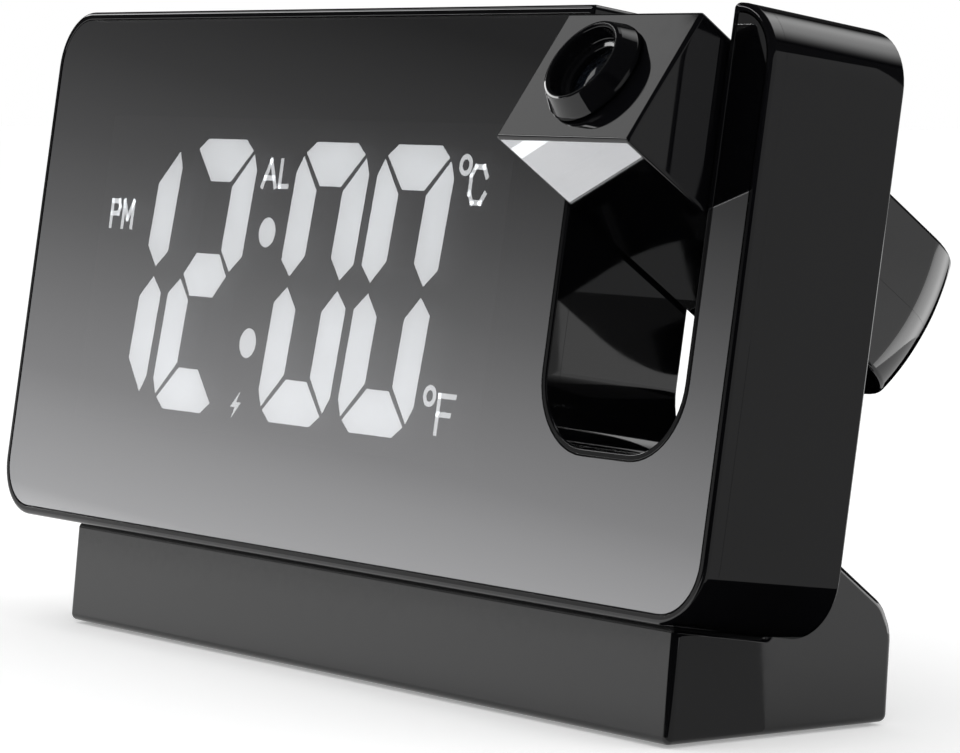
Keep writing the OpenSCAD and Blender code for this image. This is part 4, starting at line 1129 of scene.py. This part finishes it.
class CLOCK_OT_controls(bpy.types.Operator):
    """Build the snooze bar and the five rear buttons"""
    bl_idname = "clock.controls"
    bl_label = "Controls"

    def execute(self, context):
        gloss = [finished("gloss_black_plastic")]
        bar = build_snooze().piece("snooze_key", BODY, gloss)
        hand_in(bar, "snooze_bar", "snooze_bar")
        names = ["mode_button", "alarm_button", "up_button", "down_button", "projection_button"]
        for name, place in zip(names, BUTTON_PLACES):
            skin = Skin()
            surface = along_depth(turned(button_rows(), 64), place)
            skin.grid(surface)
            skin.flat([surface[0][0]], (0, -1, 0))
            skin.flat([surface[0][-1]], (0, 1, 0))
            key = skin.piece(name.replace("button", "key"), BODY, gloss)
            hand_in(key, name, name)
        return {"FINISHED"}


# ---------------------------------------------------------------- indicators

STROKE = 0.78                                       # width of a sign's strokes
SIGN_SHIFT = np.array([-2.15, 0])                   # from the points below to the signs' places
SIGN_FRONT, SIGN_BACK = 1.53, 1.58                  # between the mirror and the light frame
DEGREE_RADII = (1.6, 0.85)
# Each sign as strokes of front-view points, in millimetres
PM_SIGN = [
    [(-69.9, 48.3), (-69.9, 52.4), (-67.9, 52.4), (-67.5, 51.5), (-67.9, 50.4), (-69.9, 50.4)],
    [(-66.2, 48.3), (-66.2, 52.4), (-64.8, 49.6), (-63.4, 52.4), (-63.4, 48.3)],
]
AL_SIGN = [
    [(-26.1, 55.9), (-24.3, 59.9), (-22.5, 55.9)], [(-25.5, 57.2), (-23.1, 57.2)],
    [(-21.3, 59.9), (-21.3, 56.0), (-19.2, 56.0)],
]
C_SIGN = [[(32.6, 58.8), (31.7, 60.1), (29.7, 60.1), (28.8, 58.8), (28.8, 56.2), (29.7, 54.9),
           (31.7, 54.9), (32.6, 56.2)]]
F_SIGN = [[(28.2, 21.5), (28.2, 26.9), (31.9, 26.9)], [(28.2, 24.2), (31.1, 24.2)]]
DEGREE_PLACES = [(27.1, 60.3), (25.7, 26.7)]
BOLT_SIGN = [(-24.6, 24.0), (-26.8, 21.6), (-25.5, 21.6), (-26.2, 19.9), (-24.0, 22.4),
             (-25.3, 22.4)]


def plate(skin, corners):
    """Thin flat plate with straight sides."""
    step = np.roll(corners, -1, 0) - corners
    normals = np.stack([step[:, 1], -step[:, 0]], 1) / np.linalg.norm(step, axis=1)[:, None]
    skin.flat([lift(corners, SIGN_FRONT)], (0, -1, 0))
    skin.flat([lift(corners, SIGN_BACK)], (0, 1, 0))
    for i, normal in enumerate(normals):
        pair = corners[[i, (i + 1) % len(corners)]]
        skin.grid((np.stack([lift(pair, SIGN_FRONT), lift(pair, SIGN_BACK)]),
                   np.array([normal[0], 0, normal[1]])), close=False)


def stroke_plates(skin, line):
    """Thin plates along a line: each leg is a rectangle that runs about half a width past its
    ends, every second leg a little further, so that no two of them share an edge."""
    for i, (a, b) in enumerate(zip(line[:-1], line[1:])):
        along = (b - a) / np.linalg.norm(b - a) * STROKE / 2
        across = np.array([-along[1], along[0]])
        past = along * (1.0 + 0.02 * (i % 2))
        plate(skin, np.array([a - past - across, b + past - across, b + past + across,
                              a - past + across]))


def degree_ring(skin, centre):
    """Flat ring of a degree sign."""
    wide, narrow = (circle(centre, radius) for radius in DEGREE_RADII)
    for path, out in ((wide, 1), (narrow, -1)):
        skin.grid(carry(path, [(0, SIGN_FRONT, out, 0), (0, SIGN_BACK, out, 0)]))
    for depth, towards in ((SIGN_FRONT, -1), (SIGN_BACK, 1)):
        skin.between(lift(wide[0], depth), lift(narrow[0], depth), (0, towards, 0))


class CLOCK_OT_indicators(bpy.types.Operator):
    """Build the small lit signs between the light frame and the mirror"""
    bl_idname = "clock.indicators"
    bl_label = "Indicators"

    def execute(self, context):
        skin = Skin()
        for line in (*PM_SIGN, *AL_SIGN, *C_SIGN, *F_SIGN):
            stroke_plates(skin, np.array(line) + SIGN_SHIFT)
        for place in DEGREE_PLACES:
            degree_ring(skin, place + SIGN_SHIFT)
        plate(skin, np.array(BOLT_SIGN) + SIGN_SHIFT)
        piece = skin.piece("indicator_signs", BODY, [finished("lit_diffuser")])
        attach(piece, "clock")
        return {"FINISHED"}


# ---------------------------------------------------------------- stage

SCREEN_RADIUS, SCREEN_FOOT = 1.6, 0.0005
FLOOR_RADIUS, FLOOR_GLOW = 6.0, 0.28
# Radiance of the round screen by height in millimetres, as the mirror has to show it
SCREEN_TONES = [(0, 1.02), (88, 1.02), (112, 0.58), (150, 0.45), (173, 0.35), (206, 0.283),
                (256, 0.175), (297, 0.113), (344, 0.065), (402, 0.03), (470, 0.028)]
# The side of the studio behind the camera is dark: azimuth of its middle and half its width, how
# soft its border is as a share of the screen's radius, and the share of light that it keeps
DARK_MIDDLE, DARK_HALF = math.radians(-52), math.radians(78)
DARK_BORDER, DARK_SHARE = 0.05, 0.02
# Softboxes as direction from the object, distance, width and height in metres, radiance, and for
# a soft one the reach of its fall-off
SOFTBOXES = {
    "left_softbox": ((-0.806, -0.203, 0.557), 1.3, 0.4, 0.28, 1.12),
    "back_softbox": ((0.0, 0.75, 0.66), 1.3, 1.5, 0.9, 2.2, (0.72, 0.6, 0.6)),
    "strip_light": ((-0.82, -0.38, 0.40), 1.2, 0.9, 0.12, 6.0),
}
# Cards near the object as corners in millimetres and radiance, with what shows each of them
CARDS = {
    # the body's right side
    "grey_card_beside_body": ([(105, -32, 17.3), (105, 20, 16.2), (105, 20, 100.5),
                               (105, -32, 100.5)], 0.45),
    # the stand's right end
    "grey_card_beside_stand": ([(79.8, -60, 0.3), (79.8, -3, 0.3), (234, 122, 0.3),
                                (300, -60, 0.3)], 0.42),
    # the underside of the body's lower right corner
    "black_card_under_corner": ([(81, -35, 15), (120, -35, 15), (120, 36, 15), (81, 6, 15)], 0.0),
    # the upright edges on the right
    "black_card_before_corner": ([(82, -1300, 0.3), (1300, -1300, 0.3), (1300, -62, 0.3),
                                  (82, -62, 0.3)], 0.02),
    # the end of the arm's tail
    "black_card_behind": ([(-120, 24, 0.4), (40, 24, 0.4), (40, 450, 0.4), (-500, 450, 0.4)], 0.0),
}
# Upright sheet that lights the arm's tail: middle, direction along it, its ends along that and
# its foot and top, from the middle, all in metres
TAIL_MIDDLE, TAIL_ALONG = np.array([134, 161, 28]) * MM, np.array([-0.9406, 0.339, 0])
TAIL_ENDS, TAIL_HEIGHTS = (-0.061, 0.112), (-0.027, 0.027)
# Lamps as place in metres and power in watts
LAMPS = {"key": ((-0.5, -0.7, 1.1), 3.0), "fill": ((0.9, 0.3, 0.8), 1.5)}
LAMP_SIZE = 0.8
CAMERA_PLACE = (0.52503, -0.37005, 0.09109)
CAMERA_YAW, CAMERA_PITCH, CAMERA_ROLL = (math.radians(a) for a in (54.424, 4.137, 0.264))
CAMERA_LENS, CAMERA_SENSOR = 159.78, 36


def glow_material(name, strength):
    """Plain light source whose strength is a number or a socket made by a function."""
    made, tree = material(name)
    value = strength(tree) if callable(strength) else strength
    shader = node(tree, "ShaderNodeEmission", {"Color": WHITE, "Strength": value})
    node(tree, "ShaderNodeOutputMaterial", {"Surface": shader.outputs["Emission"]})
    return made


def screen_strength(tree):
    """Radiance by height above the floor, from a colour ramp over the screen's height, times a
    share that falls to almost nothing on the dark side of the studio."""
    place = node(tree, "ShaderNodeTexCoord").outputs["Object"]
    height = node(tree, "ShaderNodeSeparateXYZ", {"Vector": place}).outputs["Z"]
    towards = (math.cos(DARK_MIDDLE) / SCREEN_RADIUS, math.sin(DARK_MIDDLE) / SCREEN_RADIUS, 0)
    side = node(tree, "ShaderNodeVectorMath", {0: place, 1: towards}, operation="DOT_PRODUCT")
    edge = math.cos(DARK_HALF)
    lit = node(tree, "ShaderNodeMapRange", {
        "Value": side.outputs["Value"], "From Min": edge - DARK_BORDER,
        "From Max": edge + DARK_BORDER, "To Min": 1.0, "To Max": DARK_SHARE},
        interpolation_type="SMOOTHSTEP").outputs["Result"]
    top = SCREEN_TONES[-1][0]
    share = node(tree, "ShaderNodeMath", {0: height, 1: top * MM}, operation="DIVIDE")
    ramp = node(tree, "ShaderNodeValToRGB", {"Fac": share.outputs["Value"]})
    elements = ramp.color_ramp.elements
    while len(elements) < len(SCREEN_TONES):
        elements.new(0.5)
    # all places come before the colours, because moving an element sorts the ramp anew
    for element, (z, _) in zip(elements, SCREEN_TONES):
        element.position = z / top
    for element, (_, tone) in zip(elements, SCREEN_TONES):
        element.color = (tone, tone, tone, 1)
    return node(tree, "ShaderNodeMath", {0: ramp.outputs["Color"], 1: lit},
                operation="MULTIPLY").outputs["Value"]


def stage_mesh(name, points, faces, made):
    """A mesh of the stage, which isn't part of the object."""
    mesh = bpy.data.meshes.new(name)
    mesh.from_pydata(points, [], faces)
    mesh.materials.append(made)
    sheet = bpy.data.objects.new(name, mesh)
    bpy.context.scene.collection.objects.link(sheet)
    return sheet


def reflector(name, points, faces, strength):
    """A glowing sheet that only shows in reflections."""
    sheet = stage_mesh(name, points, faces, glow_material(name + "_glow", strength))
    sheet.visible_camera = sheet.visible_diffuse = sheet.visible_shadow = False
    sheet.visible_transmission = sheet.visible_volume_scatter = False


def soft_glow(centre, reach, radiance, least=0.0):
    """Radiance that falls off smoothly from a centre to its least: 1 - distance / reach along
    each axis of the world, with no fall along an axis whose reach is None."""
    scale = [0 if r is None else 1 / r for r in reach]

    def strength(tree):
        place = node(tree, "ShaderNodeMapping", {
            "Vector": node(tree, "ShaderNodeTexCoord").outputs["Object"], "Scale": scale,
            "Location": [-c * k for c, k in zip(centre, scale)]}).outputs["Vector"]
        share = node(tree, "ShaderNodeTexGradient", {"Vector": place}, gradient_type="SPHERICAL")
        return node(tree, "ShaderNodeMapRange", {
            "Value": share.outputs["Fac"], "From Max": 0.8, "To Min": least, "To Max": radiance},
            interpolation_type="SMOOTHSTEP").outputs["Result"]
    return strength


def softbox(name, direction, distance, width, height, radiance, fade=None):
    """Rectangular light that shows in reflections, facing the object from a direction. With a
    fade its light falls off smoothly to that reach along the world's axes."""
    towards = Vector(direction).normalized()
    centre = Vector((0, 0, 0.06)) + towards * distance
    across = Vector((0, 0, 1)).cross(towards).normalized()
    upright = towards.cross(across)
    corners = [centre + across * (x * width / 2) + upright * (y * height / 2)
               for x, y in ((-1, -1), (1, -1), (1, 1), (-1, 1))]
    reflector(name, [tuple(c) for c in corners], [(0, 1, 2, 3)],
              soft_glow(centre, fade, radiance) if fade else radiance)


def card(name, corners, radiance):
    """Flat card that shows in reflections, from its corners in millimetres."""
    reflector(name, (np.array(corners, float) * MM).tolist(), [(0, 1, 2, 3)], radiance)


def make_tail_light():
    """Sheet behind the arm: points middle + u along + z up, brightest at its middle."""
    (near, far), (foot, top) = TAIL_ENDS, TAIL_HEIGHTS
    corners = [TAIL_MIDDLE + TAIL_ALONG * u + np.array([0, 0, z])
               for u, z in ((near, foot), (far, foot), (far, top), (near, top))]
    reflector("tail_light", [c.tolist() for c in corners], [(0, 1, 2, 3)],
              soft_glow(TAIL_MIDDLE, (0.12, 0.12, None), 4.0, 0.72))


def make_tent():
    """Dark roof over the round screen, for reflections: points radius cos t, height sin t."""
    top = SCREEN_TONES[-1][0] * MM
    t = np.linspace(0, math.pi / 2, 16)[:-1, None]
    ring = circle((0, 0), SCREEN_RADIUS, steps=96)[0]
    rows = np.cos(t)[..., None] * ring
    heights = np.broadcast_to(top + SCREEN_RADIUS * np.sin(t), rows.shape[:2])
    points = np.concatenate([rows, heights[..., None]], -1)
    index = np.arange(points.size // 3).reshape(points.shape[:2])
    right = np.roll(index, -1, 1)
    faces = np.stack([index[:-1], right[:-1], right[1:], index[1:]], -1).reshape(-1, 4).tolist()
    reflector("tent_roof", points.reshape(-1, 3).tolist(), faces + [index[-1].tolist()],
              SCREEN_TONES[-1][1])


def outer_rays(tree):
    """1 for camera, glossy and transmission rays, 0 for the rest."""
    path = node(tree, "ShaderNodeLightPath").outputs
    first = node(tree, "ShaderNodeMath", {0: path["Is Camera Ray"], 1: path["Is Glossy Ray"]},
                 operation="MAXIMUM")
    return node(tree, "ShaderNodeMath", {
        0: first.outputs["Value"], 1: path["Is Transmission Ray"]},
        operation="MAXIMUM").outputs["Value"]


def make_world(daylight):
    """Even light all round; white where the camera, a reflection or glass sees it."""
    world = bpy.data.worlds.new("studio")
    world.use_nodes = True
    tree = world.node_tree
    tree.nodes.clear()
    level = node(tree, "ShaderNodeMapRange", {
        "Value": outer_rays(tree), "To Min": daylight, "To Max": 1.0}).outputs["Result"]
    background = node(tree, "ShaderNodeBackground", {"Color": WHITE, "Strength": level})
    node(tree, "ShaderNodeOutputWorld", {"Surface": background.outputs["Background"]})
    bpy.context.scene.world = world


def make_floor(colours):
    """Round pale floor: diffuse with a little of its own light, so that it meets the world's
    white and still takes the object's shadow."""
    made, tree = material("painted_floor")
    own = node(tree, "ShaderNodeMath", {0: outer_rays(tree), 1: FLOOR_GLOW},
               operation="MULTIPLY")
    paint = tint(tree, spread(tree, grain(tree, 3.0), 0, 1), colours.floor, "#f6f6f6")
    diffuse = node(tree, "ShaderNodeBsdfDiffuse", {"Color": paint, "Roughness": 0.3})
    glow = node(tree, "ShaderNodeEmission", {
        "Color": WHITE, "Strength": own.outputs["Value"]})
    both = node(tree, "ShaderNodeAddShader", {
        0: diffuse.outputs["BSDF"], 1: glow.outputs["Emission"]})
    node(tree, "ShaderNodeOutputMaterial", {"Surface": both.outputs["Shader"]})
    ring = np.insert(circle((0, 0), FLOOR_RADIUS, steps=96)[0], 2, 0, axis=1)
    stage_mesh("floor", ring.tolist(), [list(range(len(ring)))], made)


def make_screen():
    """Round graduated screen: points radius (cos t, sin t) at two heights."""
    ring = circle((0, 0), SCREEN_RADIUS, steps=192)[0]
    low = np.column_stack([ring, np.full(len(ring), SCREEN_FOOT)])
    high = np.column_stack([ring, np.full(len(ring), SCREEN_TONES[-1][0] * MM)])
    n = np.arange(len(ring))
    faces = np.stack([n, np.roll(n, -1), np.roll(n, -1) + len(n), n + len(n)], 1)
    reflector("graduated_screen", np.concatenate([low, high]).tolist(), faces.tolist(),
              screen_strength)


def make_lamp(name, place, watts):
    """Square soft lamp that faces the object and isn't seen in reflections."""
    light = bpy.data.lights.new(name, "AREA")
    light.shape, light.size, light.energy = "SQUARE", LAMP_SIZE, watts
    lamp = bpy.data.objects.new(name, light)
    lamp.location = place
    lamp.rotation_mode = "QUATERNION"
    lamp.rotation_quaternion = Vector(place).to_track_quat("Z", "Y")
    lamp.visible_glossy = lamp.visible_camera = False
    bpy.context.scene.collection.objects.link(lamp)


def make_camera():
    """Camera at the photograph's place: back along yaw and pitch, then rolled about the view."""
    sy, cy, sp, cp = (math.sin(CAMERA_YAW), math.cos(CAMERA_YAW),
                      math.sin(CAMERA_PITCH), math.cos(CAMERA_PITCH))
    back = Vector((sy * cp, -cy * cp, sp))
    level = Vector((cy, sy, 0))
    upright = back.cross(level)
    right = math.cos(CAMERA_ROLL) * level + math.sin(CAMERA_ROLL) * upright
    up = -math.sin(CAMERA_ROLL) * level + math.cos(CAMERA_ROLL) * upright
    data = bpy.data.cameras.new("camera")
    data.lens, data.sensor_width = CAMERA_LENS, CAMERA_SENSOR
    data.clip_start, data.clip_end = 0.01, 50
    camera = bpy.data.objects.new("camera", data)
    camera.rotation_mode = "QUATERNION"
    camera.rotation_quaternion = Matrix((right, up, back)).transposed().to_quaternion()
    camera.location = CAMERA_PLACE
    bpy.context.scene.collection.objects.link(camera)
    bpy.context.scene.camera = camera


class CLOCK_OT_stage(bpy.types.Operator):
    """Make the camera, floor, light and the sheets that show in reflections"""
    bl_idname = "clock.stage"
    bl_label = "Stage"

    def execute(self, context):
        scene = context.scene
        scene.view_settings.view_transform = "Standard"
        make_camera()
        make_world(scene.clock_stage.daylight)
        make_floor(scene.clock_colours)
        make_screen()
        for name, settings in LAMPS.items():
            make_lamp(name, *settings)
        make_tent()
        for name, settings in SOFTBOXES.items():
            softbox(name, *settings)
        make_tail_light()
        for name, settings in CARDS.items():
            card(name, *settings)
        return {"FINISHED"}


class CLOCK_PT_panel(bpy.types.Panel):
    """Lists the sizes, the colours and the pieces"""
    bl_idname = "CLOCK_PT_panel"
    bl_label = "Projection Alarm Clock"
    bl_space_type = "VIEW_3D"
    bl_region_type = "UI"
    bl_category = "Clock"

    def draw(self, context):
        for group, kind in GROUPS.items():
            box = self.layout.box()
            for name in kind.__annotations__:
                box.prop(getattr(context.scene, group), name)
        for operator in OPERATORS:
            self.layout.operator(operator.bl_idname)


OPERATORS = [
    CLOCK_OT_finishes, CLOCK_OT_stage, CLOCK_OT_housing, CLOCK_OT_front_frame, CLOCK_OT_mirror,
    CLOCK_OT_stand, CLOCK_OT_arm_case, CLOCK_OT_lens_ring, CLOCK_OT_controls,
    CLOCK_OT_indicators,
]
CLASSES = [*GROUPS.values(), *OPERATORS, CLOCK_PT_panel]


def register():
    for kind in CLASSES:
        bpy.utils.register_class(kind)
    for name, kind in GROUPS.items():
        setattr(bpy.types.Scene, name, PointerProperty(type=kind))


def unregister():
    for name in GROUPS:
        delattr(bpy.types.Scene, name)
    for kind in reversed(CLASSES):
        bpy.utils.unregister_class(kind)


def main():
    """Registers the add-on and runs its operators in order."""
    register()
    for operator in OPERATORS:
        getattr(bpy.ops.clock, operator.bl_idname.split(".")[1])()


if __name__ == "__main__":
    main()
